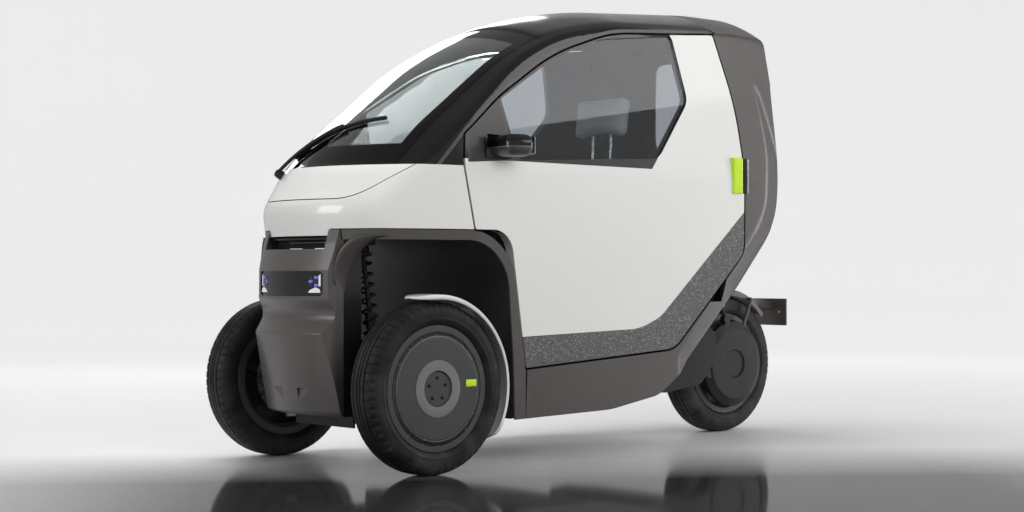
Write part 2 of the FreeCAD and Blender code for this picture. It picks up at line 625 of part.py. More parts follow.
arm_high_set = joined([arm_high_set, rod((KINGPIN_X, FRONT_Y, ARM_HIGH_Z - 12), (KINGPIN_X, FRONT_Y, ARM_HIGH_Z + 12), 17), pin_high])
arm_set = Part.makeCompound([solids_only(arm_low_set.cut(subframe)), solids_only(arm_high_set.cut(subframe))])
strut_low = V(215, FRONT_Y - 40, ARM_LOW_Z + 14)
strut_high = V(140, FRONT_Y - 56, up(684))
strut_dir = strut_high - strut_low
strut_body = Part.makeCylinder(16, strut_dir.Length * 0.55, strut_low, strut_dir)
strut_top = Part.makeCylinder(8, strut_dir.Length, strut_low, strut_dir)
strut_spring = Part.makeCylinder(28, strut_dir.Length * 0.5, strut_low + strut_dir * 0.42, strut_dir)
strut_eye = rod((215, FRONT_Y - 62, ARM_LOW_Z + 8), (215, FRONT_Y - 18, ARM_LOW_Z + 8), 12)
strut_cap = rod((140, FRONT_Y - 56, up(660)), (140, FRONT_Y - 56, up(684)), 22)
strut = joined([strut_body, strut_top, strut_spring, strut_eye, strut_cap]).cut(arm_set).cut(subframe)
keep("wishbones", Part.makeCompound(arm_set.Solids + mirrored(arm_set).Solids))
keep("front_struts", Part.makeCompound([solids_only(strut), mirrored(solids_only(strut))]))


# Knuckle: upright with stub axle, steering arm and fender stay
def knuckle_shape():
    low, high = ARM_LOW_Z + 13, ARM_HIGH_Z - 13
    upright = block(KINGPIN_X - 14, KINGPIN_X + 14, FRONT_Y - 20, FRONT_Y + 20, low, high)
    jaw_low = block(KINGPIN_X - 18, KINGPIN_X + 18, FRONT_Y - 20, FRONT_Y + 20, ARM_LOW_Z - 26, ARM_LOW_Z - 13)
    jaw_high = block(KINGPIN_X - 18, KINGPIN_X + 18, FRONT_Y - 20, FRONT_Y + 20, ARM_HIGH_Z + 13, ARM_HIGH_Z + 26)
    link_low = block(KINGPIN_X + 18, KINGPIN_X + 26, FRONT_Y - 20, FRONT_Y + 20, ARM_LOW_Z - 26, low + 20)
    link_high = block(KINGPIN_X + 18, KINGPIN_X + 26, FRONT_Y - 20, FRONT_Y + 20, high - 20, ARM_HIGH_Z + 26)
    web_low = block(KINGPIN_X - 14, KINGPIN_X + 26, FRONT_Y - 20, FRONT_Y + 20, low + 6, low + 20)
    web_high = block(KINGPIN_X - 14, KINGPIN_X + 26, FRONT_Y - 20, FRONT_Y + 20, high - 20, high - 6)
    stub = rod((KINGPIN_X, FRONT_Y, WHEEL_R), (WHEEL_X + 26, FRONT_Y, WHEEL_R), 14)
    flange = rod((KINGPIN_X + 10, FRONT_Y, WHEEL_R), (KINGPIN_X + 20, FRONT_Y, WHEEL_R), 34)
    arm = joined([block(KINGPIN_X - 8, KINGPIN_X + 8, FRONT_Y, RACK_Y, RACK_Z - 8, RACK_Z + 8),
                  rod((KINGPIN_X, RACK_Y, RACK_Z - 8), (KINGPIN_X, RACK_Y, RACK_Z + 8), 13)])
    shape = joined([upright, jaw_low, jaw_high, link_low, link_high, web_low, web_high, stub, flange, arm])
    for height in (ARM_LOW_Z, ARM_HIGH_Z):
        shape = shape.cut(rod((KINGPIN_X, FRONT_Y, height - 27), (KINGPIN_X, FRONT_Y, height + 27), 9 + FIT))
    return shape


knuckle = knuckle_shape()
keep("knuckle_left", knuckle)
keep("knuckle_right", mirrored(knuckle))

# Tie rods and rack bar: they slide across together
tie_end = KINGPIN_X - 13.7
rack_bar = rod((-tie_end, RACK_Y, RACK_Z), (tie_end, RACK_Y, RACK_Z), 11)
keep("steering_rack", rack_bar)


# Wheels. Profile columns: place along the axle from the wheel's middle, radius
def turned(corners, centre, axis_sign=1):
    def at(a, r):
        return V(centre[0] + axis_sign * a, centre[1], centre[2] + r)
    wire = wire_of(corners, at)
    return Part.Face(wire).revolve(V(*centre), V(1, 0, 0), 360)


def tyre_profile():
    half, outer, seat = size("tyre_width") / 2, WHEEL_R, size("rim_radius")
    edge = size("rim_width") / 2 - 6
    return [(-edge, seat, 0), (-edge, seat + 11, 0), (-half, seat + 34, 24), (-half, outer - 40, 30), (-half + 26, outer, 34),
            (half - 26, outer, 34), (half, outer - 40, 30), (half, seat + 34, 24), (edge, seat + 11, 0), (edge, seat, 0)]


def rim_profile():
    half, seat = size("rim_width") / 2, size("rim_radius")
    return [(-half, seat + 10, 2), (-half + 6, seat + 10, 2), (-half + 6, seat, 0), (half - 6, seat, 0),
            (half - 6, seat + 10, 2), (half, seat + 10, 2), (half, seat - 12, 4), (half - 16, seat - 12, 4),
            (half - 22, seat - 26, 4), (-half + 12, seat - 26, 4), (-half, seat - 14, 4)]


COVER_R, COVER_FACE, COVER_BACK = 160, 49, 34
SLOT_R0, SLOT_COUNT = 153, 15


def front_wheel_shape(centre):
    half, seat = size("rim_width") / 2, size("rim_radius")
    rim = turned(rim_profile(), centre)
    disc = turned([(COVER_BACK, 20, 0), (COVER_FACE - 8, 20, 0), (COVER_FACE - 8, 50, 0), (COVER_FACE, 54, 2),
                   (COVER_FACE, COVER_R - 10, 8), (COVER_FACE - 5, COVER_R + 4, 3), (COVER_BACK, COVER_R + 4, 0)], centre)
    ledge = turned([(half - 24, COVER_R - 14, 0), (half - 8, COVER_R - 14, 0), (half - 8, seat - 11, 0), (half - 24, seat - 11, 0)], centre)
    hub = turned([(-20, 14 + FIT, 0), (COVER_BACK + 1, 14 + FIT, 0), (COVER_BACK + 1, 46, 6), (-20, 38, 4)], centre)
    spokes = []
    for i in range(5):
        spoke = block(centre[0] - 6, centre[0] + COVER_BACK + 2, centre[1] - 12, centre[1] + 12,
                      centre[2] + 30, centre[2] + seat - 20)
        spoke.rotate(V(*centre), V(1, 0, 0), i * 72)
        spokes.append(spoke)
    hub_disc = turned([(COVER_FACE - 8, 0, 0), (COVER_FACE - 3, 0, 0), (COVER_FACE - 3, 50, 0), (COVER_FACE - 8, 50.5, 0)], centre)
    wheel = joined([rim, ledge, disc, hub, hub_disc] + spokes)
    slots = []
    for i in range(SLOT_COUNT):
        span = 360.0 / SLOT_COUNT
        cutter = Part.makeCylinder(seat - 13, 60, V(centre[0] + 10, centre[1], centre[2]), V(1, 0, 0), span - 3.2)
        core = Part.makeCylinder(COVER_R + 4, 62, V(centre[0] + 9, centre[1], centre[2]), V(1, 0, 0), 360)
        cutter = cutter.cut(core)
        cutter.rotate(V(*centre), V(1, 0, 0), i * span)
        slots.append(cutter)
    return wheel.cut(Part.makeCompound(slots))


for side, name in ((1, "left"), (-1, "right")):
    centre = (WHEEL_X, FRONT_Y, WHEEL_R)
    tyre = turned(tyre_profile(), centre)
    wheel = front_wheel_shape(centre)
    keep("front_tyre_" + name, tyre if side > 0 else mirrored(tyre))
    keep("front_wheel_" + name, wheel if side > 0 else mirrored(wheel))

# Fender: a close arc over the tyre, held by stays on the knuckle
fender_in = WHEEL_R + size("fender_clearance")
FENDER_WALL = 5
fender_half = size("fender_width") / 2
fender_ring = turned([(-fender_half, fender_in - 14, 4), (-fender_half, fender_in + FENDER_WALL, 16), (fender_half, fender_in + FENDER_WALL, 16),
                      (fender_half, fender_in - 14, 4), (fender_half - FENDER_WALL, fender_in - 14, 2), (fender_half - FENDER_WALL, fender_in, 12),
                      (-fender_half + FENDER_WALL, fender_in, 12), (-fender_half + FENDER_WALL, fender_in - 14, 2)],
                     (WHEEL_X, FRONT_Y, WHEEL_R))
FENDER_FRONT_DEG, FENDER_REAR_DEG = -16, 128


def wheel_point(radius, degrees):
    """Side view point about the front wheel, degrees back from straight up."""
    return (FRONT_Y + radius * math.sin(math.radians(degrees)), WHEEL_R + radius * math.cos(math.radians(degrees)), 0)


fan = [(FRONT_Y, WHEEL_R, 0)] + [wheel_point(700, d) for d in range(FENDER_FRONT_DEG, FENDER_REAR_DEG + 1, 36)]
fender = fender_ring.common(side_prism(fan))
stays = []
for degrees in (24, 66):
    y1, z1, _ = wheel_point(fender_in - 6, degrees)
    inner_x = WHEEL_X - fender_half
    stays.append(rod((inner_x - 6, y1, z1), (inner_x + 4, y1, z1), 6))
    y0, z0, _ = wheel_point(60, degrees)
    stays.append(rod((inner_x - 6, y0, z0), (inner_x - 6, y1, z1), 6))
    stays.append(rod((inner_x - 6, y0, z0), (inner_x - 6, FRONT_Y, WHEEL_R + 20), 6))
fender_full = joined([solids_only(fender)] + stays).cut(knuckle)
keep("fender_left", fender_full)
keep("fender_right", mirrored(fender_full))

# Rear wheel, single-sided swing arm with its drive housing, strut and guard
rear_centre = (0, REAR_Y, WHEEL_R)
keep("rear_tyre", turned(tyre_profile(), rear_centre))


def rear_wheel_shape():
    seat = size("rim_radius")
    rim = turned(rim_profile(), rear_centre)
    hub = turned([(-44, 15 + FIT, 0), (30, 15 + FIT, 0), (30, 44, 4), (-44, 52, 4)], rear_centre)
    disc = turned([(-30, 40, 0), (-22, 40, 0), (-14, seat - 20, 0), (-22, seat - 20, 0)], rear_centre)
    return joined([rim, hub, disc])


keep("rear_wheel", rear_wheel_shape())
drive = turned([(HOUSING_X0, 0, 0), (HOUSING_X1 - 6, 0, 0), (HOUSING_X1 - 6, 48, 0), (HOUSING_X1, 54, 2), (HOUSING_X1, HOUSING_R - 30, 10),
                (HOUSING_X1 - 14, HOUSING_R, 6), (HOUSING_X0, HOUSING_R, 0)], rear_centre)
axle = rod((-30, REAR_Y, WHEEL_R), (HOUSING_X0 + 2, REAR_Y, WHEEL_R), 15)
nut = rod((-58, REAR_Y, WHEEL_R), (-44 - FIT, REAR_Y, WHEEL_R), 20)
axle_tip = rod((-50, REAR_Y, WHEEL_R), (-28, REAR_Y, WHEEL_R), 15)
keep("drive_housing", joined([drive, axle, nut, axle_tip]))
arm_beam = side_prism([(PIVOT_Y, PIVOT_Z - 34, 20), (REAR_Y - 100, WHEEL_R - 60, 30), (REAR_Y - 100, WHEEL_R + 50, 30), (PIVOT_Y, PIVOT_Z + 34, 20)],
                      HOUSING_X0 + 4, HOUSING_X1 - 4)
lug = rod((HOUSING_X0 + 4, REAR_Y - 40, WHEEL_R + 168), (HOUSING_X1 - 4, REAR_Y - 40, WHEEL_R + 168), 17)
lug_web = block(HOUSING_X0 + 8, HOUSING_X1 - 8, REAR_Y - 52, REAR_Y - 28, WHEEL_R + 120, WHEEL_R + 168)
cross_tube = rod((-60, PIVOT_Y, PIVOT_Z), (HOUSING_X1 - 4, PIVOT_Y, PIVOT_Z), 24)
swing_arm = joined([arm_beam, cross_tube]).cut(drive)
keep("swing_arm", swing_arm)
strut_foot = V(79, REAR_Y - 40, WHEEL_R + 168)
strut_head = V(79, along(672), up(672))
strut_way = strut_head - strut_foot
rear_strut = joined([lug, lug_web,
                     Part.makeCylinder(9, strut_way.Length, strut_foot, strut_way),
                     Part.makeCylinder(15, strut_way.Length * 0.6, strut_foot + strut_way * 0.2, strut_way)])
rear_strut = rear_strut.cut(drive).cut(OUTER)
keep("rear_strut", rear_strut)
guard_ring = turned([(-62, fender_in - 20, 4), (-62, fender_in + 5, 20), (62, fender_in + 5, 20), (62, fender_in - 20, 4),
                     (57, fender_in - 20, 2), (57, fender_in, 16), (-57, fender_in, 16), (-57, fender_in - 20, 2)], rear_centre)


def rear_point(radius, degrees):
    return (REAR_Y + radius * math.sin(math.radians(degrees)), WHEEL_R + radius * math.cos(math.radians(degrees)), 0)


guard_fan = [(REAR_Y, WHEEL_R, 0)] + [rear_point(700, d) for d in (-28, 10, 48)]
guard = guard_ring.common(side_prism(guard_fan, -200, 200))
guard_stay_y, guard_stay_z, _ = rear_point(fender_in - 8, 25)
stay_foot_y, stay_foot_z, _ = rear_point(HOUSING_R - 20, 25)
stay = joined([rod((60, guard_stay_y, guard_stay_z), (76, guard_stay_y, guard_stay_z), 7),
               rod((76, guard_stay_y, guard_stay_z), (76, stay_foot_y, stay_foot_z), 7)]).cut(drive)
plate_y, plate_z = REAR_Y + 298, 396
plate_holder = block(-95, 95, plate_y, plate_y + 6, plate_z, plate_z + 104)
PLATE_HOLES = (-60, 60)
for x in PLATE_HOLES:
    plate_holder = plate_holder.cut(rod((x, plate_y - 5, plate_z + 52), (x, plate_y + 12, plate_z + 52), 3.5))
holder_arm = side_prism([(plate_y + 2, plate_z + 60, 0), (plate_y + 2, plate_z + 90, 0), (plate_y - 140, plate_z + 108, 0), (plate_y - 140, plate_z + 86, 0)], -30, 30)
guard_all = joined([solids_only(guard), stay, plate_holder, holder_arm.cut(turned([(-70, 0, 0), (-70, fender_in, 0), (70, fender_in, 0), (70, 0, 0)], rear_centre))])
keep("rear_mudguard", guard_all)

# Cabin: dashboard with the column, steering wheel, two seats in line
dash = side_prism(side_outline([(-960, 712, 0), (-990, 905, 20), (-700, 905, 60), (-640, 800, 40), (-700, 712, 0)]), -out(300), out(300))
dash = dash.common(body_solid(SKIN, SKIN))
COLUMN_TOP = (0, along(-545), up(900))
COLUMN_FOOT = (0, along(-690), up(800))
column = rod(COLUMN_FOOT, COLUMN_TOP, 24)
keep("dashboard", joined([solids_only(dash), column]))
column_dir = V(*COLUMN_TOP) - V(*COLUMN_FOOT)
column_dir.normalize()
wheel_centre = V(*COLUMN_TOP) + column_dir * 34
RING_R, GRIP_R = size("wheel_rim_diameter") / 2 - 14, 14
ring = Part.makeTorus(RING_R, GRIP_R, wheel_centre, column_dir)
boss = Part.makeCylinder(42, 34, V(*COLUMN_TOP) + column_dir * FIT, column_dir)
shaft_dir = column_dir
across = V(1, 0, 0)
down = across.cross(column_dir)
bars = []
for direction in (across, -across, down if down.z < 0 else -down):
    bars.append(Part.makeCylinder(11, RING_R, wheel_centre - column_dir * 12, direction + column_dir * 0.07))
keep("steering_wheel", joined([ring, boss] + bars))

seat_half = size("seat_width") / 2
driver_outline = side_outline([(-250, 296 + FIT, 8), (-280, 470, 70), (60, 452, 70), (190, 1020, 40), (262, 1012, 40), (150, 420, 80), (100, 296 + FIT, 8)])
driver = side_prism(driver_outline, -seat_half, seat_half)
head = side_prism(side_outline([(188, 1075, 30), (210, 1225, 40), (268, 1225, 40), (262, 1075, 30)]), -130, 130)
posts = [rod((x, along(228), up(1000)), (x, along(232), up(1090)), 7) for x in (-45, 45)]
keep("driver_seat", joined([driver, head] + posts))
passenger_outline = side_outline([(270, 520, 20), (260, 600, 50), (575, 585, 50), (640, 1050, 40), (712, 1046, 40), (700, 760, 60), (560, 590, 60), (480, 520, 40)])
passenger = side_prism(passenger_outline, -seat_half + 20, seat_half - 20)
keep("passenger_seat", passenger.common(body_solid(SKIN * 2, SKIN)))
stand = side_prism(side_outline([(290, 290, 0), (290, 519.7, 0), (470, 519.7, 0), (470, 300, 0)]), -170, 170)
stand = stand.common(body_solid(SKIN, SKIN))
keep("seat_stand", stand)

# Wiper: base at the windscreen's right foot, arm and blade on the near side
wiper_foot = V(-out(205), along(-985), up(968))
wiper_knee = V(out(150), along(-850), up(1100))
wiper_top = V(out(262), along(-560), up(1290))
wiper_arm = joined([Part.makeCylinder(17, 26, wiper_foot - V(0, 8, 8), V(0, -0.7, 0.7)),
                    rod(tuple(wiper_foot), tuple(wiper_knee), 6)])
keep("wiper", wiper_arm.cut(OUTER))

# Checks and export
doc.recompute()
for obj in doc.Objects:
    if "Invalid" in obj.State or "Error" in obj.State:
        raise RuntimeError("object failed: " + obj.Label)
os.makedirs("parts", exist_ok=True)
for piece in SUBPARTS:
    shape = piece.Shape
    if shape.isNull() or not shape.isValid() or not shape.Solids:
        raise RuntimeError("bad shape: " + piece.Label)
    shape.exportStep("parts/" + piece.Label + ".step")
print("sub-parts", len(SUBPARTS))
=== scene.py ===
# %% [markdown]
# An enclosed electric tricycle in a pale studio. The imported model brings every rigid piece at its
# real size and place, so this lesson is about looks: a camera, then finishes built from a few
# shared node groups, then the small and soft pieces that a drawing office leaves out, then lights.

# %% Load the frame
import bpy
import bmesh
import math
import numpy as np
from mathutils import Matrix, Vector
from mathutils.bvhtree import BVHTree
from mathutils.kdtree import KDTree


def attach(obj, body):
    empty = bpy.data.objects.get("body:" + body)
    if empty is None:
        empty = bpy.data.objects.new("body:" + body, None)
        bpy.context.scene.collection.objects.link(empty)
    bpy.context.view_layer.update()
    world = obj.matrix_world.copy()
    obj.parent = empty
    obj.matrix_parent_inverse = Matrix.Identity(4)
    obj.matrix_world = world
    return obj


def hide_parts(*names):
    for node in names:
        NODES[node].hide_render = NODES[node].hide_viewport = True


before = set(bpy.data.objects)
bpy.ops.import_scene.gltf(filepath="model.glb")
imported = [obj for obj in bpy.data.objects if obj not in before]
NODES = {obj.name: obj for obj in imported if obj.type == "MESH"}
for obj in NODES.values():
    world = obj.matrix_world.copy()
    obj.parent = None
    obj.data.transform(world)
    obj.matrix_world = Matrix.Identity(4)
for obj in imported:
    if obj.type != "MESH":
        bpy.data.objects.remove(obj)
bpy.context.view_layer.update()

# %% [markdown]
# The camera stands at headlamp height about six metres off the left front corner, with a lens a
# little longer than normal. Its place was worked out from the wheels' ellipses and the ground
# contacts, so the picture's lines fall where the real ones do.

# %% Camera
CAMERA_PLACE = Vector((4.372, -4.140, 0.600))
CAMERA_AZIMUTH = math.radians(46.7)
CAMERA_YAW = math.radians(-1.28)
CAMERA_PITCH = math.radians(0.56)
FOCAL_PIXELS, PICTURE_WIDTH, SENSOR_MM = 1728, 1024, 36


def make_camera():
    """The look direction is level, then turned by the yaw and tipped up by the pitch."""
    level = Vector((-math.sin(CAMERA_AZIMUTH), math.cos(CAMERA_AZIMUTH), 0))
    right = Vector((math.cos(CAMERA_AZIMUTH), math.sin(CAMERA_AZIMUTH), 0))
    ahead = level * math.cos(CAMERA_YAW) + right * math.sin(CAMERA_YAW)
    side = right * math.cos(CAMERA_YAW) - level * math.sin(CAMERA_YAW)
    look = ahead * math.cos(CAMERA_PITCH) + Vector((0, 0, 1)) * math.sin(CAMERA_PITCH)
    top = side.cross(look)
    lens = bpy.data.cameras.new("camera")
    lens.sensor_width = SENSOR_MM
    lens.lens = FOCAL_PIXELS / PICTURE_WIDTH * SENSOR_MM
    camera = bpy.data.objects.new("camera", lens)
    turn = Matrix((side, top, -look)).transposed().to_4x4()
    camera.matrix_world = Matrix.Translation(CAMERA_PLACE) @ turn
    bpy.context.scene.collection.objects.link(camera)
    bpy.context.scene.camera = camera
    return camera


make_camera()
print("lens", round(bpy.context.scene.camera.data.lens, 2), "mm")

# %% [markdown]
# Two habits keep the rest short. Colours are written as they look on screen and turned into the
# linear values that shaders add up. Nodes are made by one helper that takes either a number or
# another node's output for each input, so a finish reads like a recipe.

# %% Colour and node helpers


def tint(red, green, blue):
    """A screen colour, 0 to 255 a channel, as linear values with full alpha."""
    steps = [c / 255 for c in (red, green, blue)]
    values = [c / 12.92 if c <= 0.04045 else ((c + 0.055) / 1.055) ** 2.4 for c in steps]
    return (*values, 1.0)


def add(tree, kind, inputs=None, **settings):
    node = tree.nodes.new(kind)
    for key, value in settings.items():
        setattr(node, key, value)
    for key, value in (inputs or {}).items():
        if isinstance(value, bpy.types.NodeSocket):
            tree.links.new(value, node.inputs[key])
        else:
            node.inputs[key].default_value = value
    return node


def maths(tree, operation, first, second=0.0):
    node = add(tree, "ShaderNodeMath", {0: first, 1: second}, operation=operation)
    return node.outputs[0]


def ramp(tree, value, low, high, to_low=0.0, to_high=1.0):
    node = add(tree, "ShaderNodeMapRange", {"Value": value, "From Min": low, "From Max": high,
                                            "To Min": to_low, "To Max": to_high})
    return node.outputs["Result"]


def mixed(tree, share, first, second):
    node = add(tree, "ShaderNodeMix", {"Factor": share}, data_type="RGBA")
    for name, value in (("A", first), ("B", second)):
        socket = [s for s in node.inputs if s.name == name and s.type == "RGBA"][0]
        if isinstance(value, bpy.types.NodeSocket):
            tree.links.new(value, socket)
        else:
            socket.default_value = value
    return [s for s in node.outputs if s.type == "RGBA"][0]


def place_of(tree):
    """Object coordinates are metres in the vehicle's own frame, because no object is moved."""
    return add(tree, "ShaderNodeTexCoord").outputs["Object"]


def axes_of(tree):
    """The vehicle's own X, Y and Z at the shaded point."""
    return add(tree, "ShaderNodeSeparateXYZ", {0: place_of(tree)}).outputs


def noise(tree, scale, detail=2.0):
    node = add(tree, "ShaderNodeTexNoise", {"Vector": place_of(tree), "Scale": scale, "Detail": detail})
    return node.outputs["Fac"]


COLOUR, NUMBER = "NodeSocketColor", "NodeSocketFloat"


def new_group(name, inputs, outputs):
    """A shader node group with named sockets; inputs are rows of name, kind and usual value."""
    group = bpy.data.node_groups.new(name, "ShaderNodeTree")
    for label, kind, value in inputs:
        group.interface.new_socket(name=label, in_out="INPUT", socket_type=kind).default_value = value
    for label, kind in outputs:
        group.interface.new_socket(name=label, in_out="OUTPUT", socket_type=kind)
    return group, group.nodes.new("NodeGroupInput").outputs, group.nodes.new("NodeGroupOutput").inputs


def surface(name, **values):
    """A material whose plain values sit on its own Principled shader."""
    material = bpy.data.materials.new(name)
    material.use_nodes = True
    tree = material.node_tree
    shader = tree.nodes["Principled BSDF"]
    for key, value in values.items():
        shader.inputs[key.replace("_", " ")].default_value = value
    return material, tree, shader


def use(tree, group, **values):
    node = tree.nodes.new("ShaderNodeGroup")
    node.node_tree = group
    for key, value in values.items():
        socket = node.inputs[key.replace("_", " ")]
        if isinstance(value, bpy.types.NodeSocket):
            tree.links.new(value, socket)
        else:
            socket.default_value = value
    return node.outputs


def toned(tree, shader, colour, amount, scale):
    """Send a colour whose tone wanders to the shader's base colour."""
    tone = use(tree, TONE, Colour=colour, Amount=amount, Scale=scale)
    tree.links.new(tone["Colour"], shader.inputs["Base Color"])


def handled(tree, shader, middle, swing, scale):
    """Send a roughness that wanders about a middle value to the shader."""
    sheen = use(tree, SHEEN, Middle=middle, Swing=swing, Scale=scale)
    tree.links.new(sheen["Roughness"], shader.inputs["Roughness"])


def relief(tree, shader, height, distance, strength=1.0, coat=False):
    """A bump whose distance is the real depth of the relief in metres."""
    node = add(tree, "ShaderNodeBump", {"Height": height, "Distance": distance, "Strength": strength})
    tree.links.new(node.outputs["Normal"], shader.inputs["Normal"])
    if coat:
        tree.links.new(node.outputs["Normal"], shader.inputs["Coat Normal"])


# %% [markdown]
# The first group is tone drift. No painted or moulded surface is one flat colour: the tone wanders
# by a percent or two over a hand's width, and the eye reads that as a real material.

# %% Group: tone drift
TONE, g_in, g_out = new_group("Tone Drift", [("Colour", COLOUR, (0.5, 0.5, 0.5, 1)), ("Amount", NUMBER, 0.03),
                                            ("Scale", NUMBER, 4.0)], [("Colour", COLOUR)])
drift = noise(TONE, g_in["Scale"], 3.0)
swing = maths(TONE, "MULTIPLY", ramp(TONE, drift, 0.3, 0.7, -1.0, 1.0), g_in["Amount"])
shade = add(TONE, "ShaderNodeVectorMath", {0: g_in["Colour"], "Scale": maths(TONE, "ADD", swing, 1.0)},
            operation="SCALE")
TONE.links.new(shade.outputs[0], g_out["Colour"])

# %% [markdown]
# Dust gathers low down. The mask rises towards the ground and is broken up by noise, so sills and
# tyres can take a breath of it while the roof stays clean.

# %% Group: road dust
DUST, g_in, g_out = new_group("Road Dust", [("Colour", COLOUR, (0.5, 0.5, 0.5, 1)),
                                            ("Dust Colour", COLOUR, tint(150, 145, 138)),
                                           ("Clean Height", NUMBER, 0.5), ("Amount", NUMBER, 0.1)],
                              [("Colour", COLOUR), ("Mask", NUMBER)])
height_here = axes_of(DUST)["Z"]
low_share = maths(DUST, "SUBTRACT", 1.0, maths(DUST, "DIVIDE", height_here, g_in["Clean Height"]))
patches = ramp(DUST, noise(DUST, 14.0, 6.0), 0.35, 0.75)
film = add(DUST, "ShaderNodeClamp", {0: maths(DUST, "MULTIPLY", low_share, patches)}).outputs[0]
film = maths(DUST, "MULTIPLY", film, g_in["Amount"])
DUST.links.new(mixed(DUST, film, g_in["Colour"], g_in["Dust Colour"]), g_out["Colour"])
DUST.links.new(film, g_out["Mask"])

# %% [markdown]
# Moulded plastic comes out of an etched tool with a fine pebble grain. Two noise layers, one small
# and one twice as large, give that grain as a height for a bump.

# %% Group: moulded grain
GRAIN, g_in, g_out = new_group("Moulded Grain", [("Scale", NUMBER, 900.0)],
                               [("Height", NUMBER), ("Sheen", NUMBER)])
fine = noise(GRAIN, g_in["Scale"], 2.0)
coarse = noise(GRAIN, maths(GRAIN, "MULTIPLY", g_in["Scale"], 0.45), 1.0)
GRAIN.links.new(maths(GRAIN, "ADD", fine, coarse), g_out["Height"])
GRAIN.links.new(ramp(GRAIN, coarse, 0.35, 0.65, -0.04, 0.04), g_out["Sheen"])

# %% [markdown]
# The band along the door's foot is pressed from recycled plastic. Chips of paler and darker stock
# stay visible in it. Cells of a Voronoi texture are the chips: each has its own random value, and
# only the cells above a threshold show.

# %% Group: chips
CHIPS, g_in, g_out = new_group("Recycled Chips", [("Ground", COLOUR, tint(92, 92, 91)),
                                                  ("Pale Chip", COLOUR, tint(196, 196, 194)),
                                                ("Dark Chip", COLOUR, tint(38, 38, 38)),
                                                ("Scale", NUMBER, 230.0)],
                               [("Colour", COLOUR), ("Height", NUMBER)])
cells = add(CHIPS, "ShaderNodeTexVoronoi", {"Vector": place_of(CHIPS), "Scale": g_in["Scale"]})
cell_value = add(CHIPS, "ShaderNodeSeparateColor", {0: cells.outputs["Color"]})
inside = ramp(CHIPS, cells.outputs["Distance"], 0.42, 0.3)
pale_share = maths(CHIPS, "MULTIPLY", ramp(CHIPS, cell_value.outputs["Red"], 0.8, 0.9), inside)
dark_share = maths(CHIPS, "MULTIPLY", ramp(CHIPS, cell_value.outputs["Green"], 0.68, 0.78), inside)
with_dark = mixed(CHIPS, dark_share, g_in["Ground"], g_in["Dark Chip"])
CHIPS.links.new(mixed(CHIPS, pale_share, with_dark, g_in["Pale Chip"]), g_out["Colour"])
CHIPS.links.new(maths(CHIPS, "ADD", noise(CHIPS, 700.0, 3.0), pale_share), g_out["Height"])

# %% [markdown]
# Seat cloth is a plain weave. Two wave textures at right angles are the threads, and the larger of
# the two at each point is the one that lies on top.

# %% Group: weave
WEAVE, g_in, g_out = new_group("Plain Weave", [("Colour", COLOUR, tint(40, 40, 42)),
                                               ("Thread Colour", COLOUR, tint(70, 70, 72)),
                                             ("Scale", NUMBER, 260.0)],
                                             [("Colour", COLOUR), ("Height", NUMBER)])
axes = axes_of(WEAVE)
turns = maths(WEAVE, "MULTIPLY", g_in["Scale"], 2 * math.pi)
across = maths(WEAVE, "SINE", maths(WEAVE, "MULTIPLY", axes["X"], turns))
rising = maths(WEAVE, "ADD", axes["Y"], axes["Z"])
upright = maths(WEAVE, "SINE", maths(WEAVE, "MULTIPLY", rising, turns))
threads = ramp(WEAVE, maths(WEAVE, "MAXIMUM", across, upright), -1.0, 1.0)
fuzz = maths(WEAVE, "MULTIPLY", noise(WEAVE, 1400.0, 2.0), 0.5)
WEAVE.links.new(mixed(WEAVE, threads, g_in["Colour"], g_in["Thread Colour"]), g_out["Colour"])
WEAVE.links.new(maths(WEAVE, "ADD", threads, fuzz), g_out["Height"])

# %% [markdown]
# Handling wears a surface unevenly: it polishes some patches and dulls others. This group gives a
# roughness that wanders about a middle value, and it serves paint, black trim and metal alike.

# %% Group: handled sheen
SHEEN, g_in, g_out = new_group("Handled Sheen", [("Middle", NUMBER, 0.3), ("Swing", NUMBER, 0.05),
                                                 ("Scale", NUMBER, 12.0)],
                               [("Roughness", NUMBER)])
wander = ramp(SHEEN, noise(SHEEN, g_in["Scale"], 5.0), 0.3, 0.7, -1.0, 1.0)
SHEEN.links.new(maths(SHEEN, "ADD", g_in["Middle"], maths(SHEEN, "MULTIPLY", wander, g_in["Swing"])),
                g_out["Roughness"])

# %% [markdown]
# Now the finishes. Body paint is white with a clear coat: the base wanders in tone, the coat is
# nearly a mirror, and a very shallow noise gives the orange peel that breaks up reflections.

# %% Finish: body paint
CLEAN_WHITE, WARM_GREY, DEEP_BLACK = tint(229, 229, 226), tint(80, 76, 74), tint(10, 10, 11)


def painted(name, roughness, coat, mask=None):
    """White under a clear coat; a mask, if there is one, turns part of it gloss black."""
    material, tree, shader = surface(name, Roughness=roughness, Coat_Weight=coat, Coat_Roughness=0.06,
                                     IOR=1.5)
    tone = use(tree, TONE, Colour=CLEAN_WHITE, Amount=0.012, Scale=2.5)
    colour = use(tree, DUST, Colour=tone["Colour"], Clean_Height=0.35, Amount=0.12)["Colour"]
    if mask:
        colour = mixed(tree, mask(tree), colour, DEEP_BLACK)
    tree.links.new(colour, shader.inputs["Base Color"])
    relief(tree, shader, noise(tree, 160.0, 1.0), 0.00004, 0.5, coat=True)
    return material


PAINT = painted("body_paint", 0.38, 0.75)

# %% [markdown]
# Hoops, sills and lower nose are moulded in warm dark grey with a satin lacquer. The lacquer is
# what makes the bevelled rear edge light up, so it gets some coat over a rougher base.

# %% Finish: satin grey and blacks


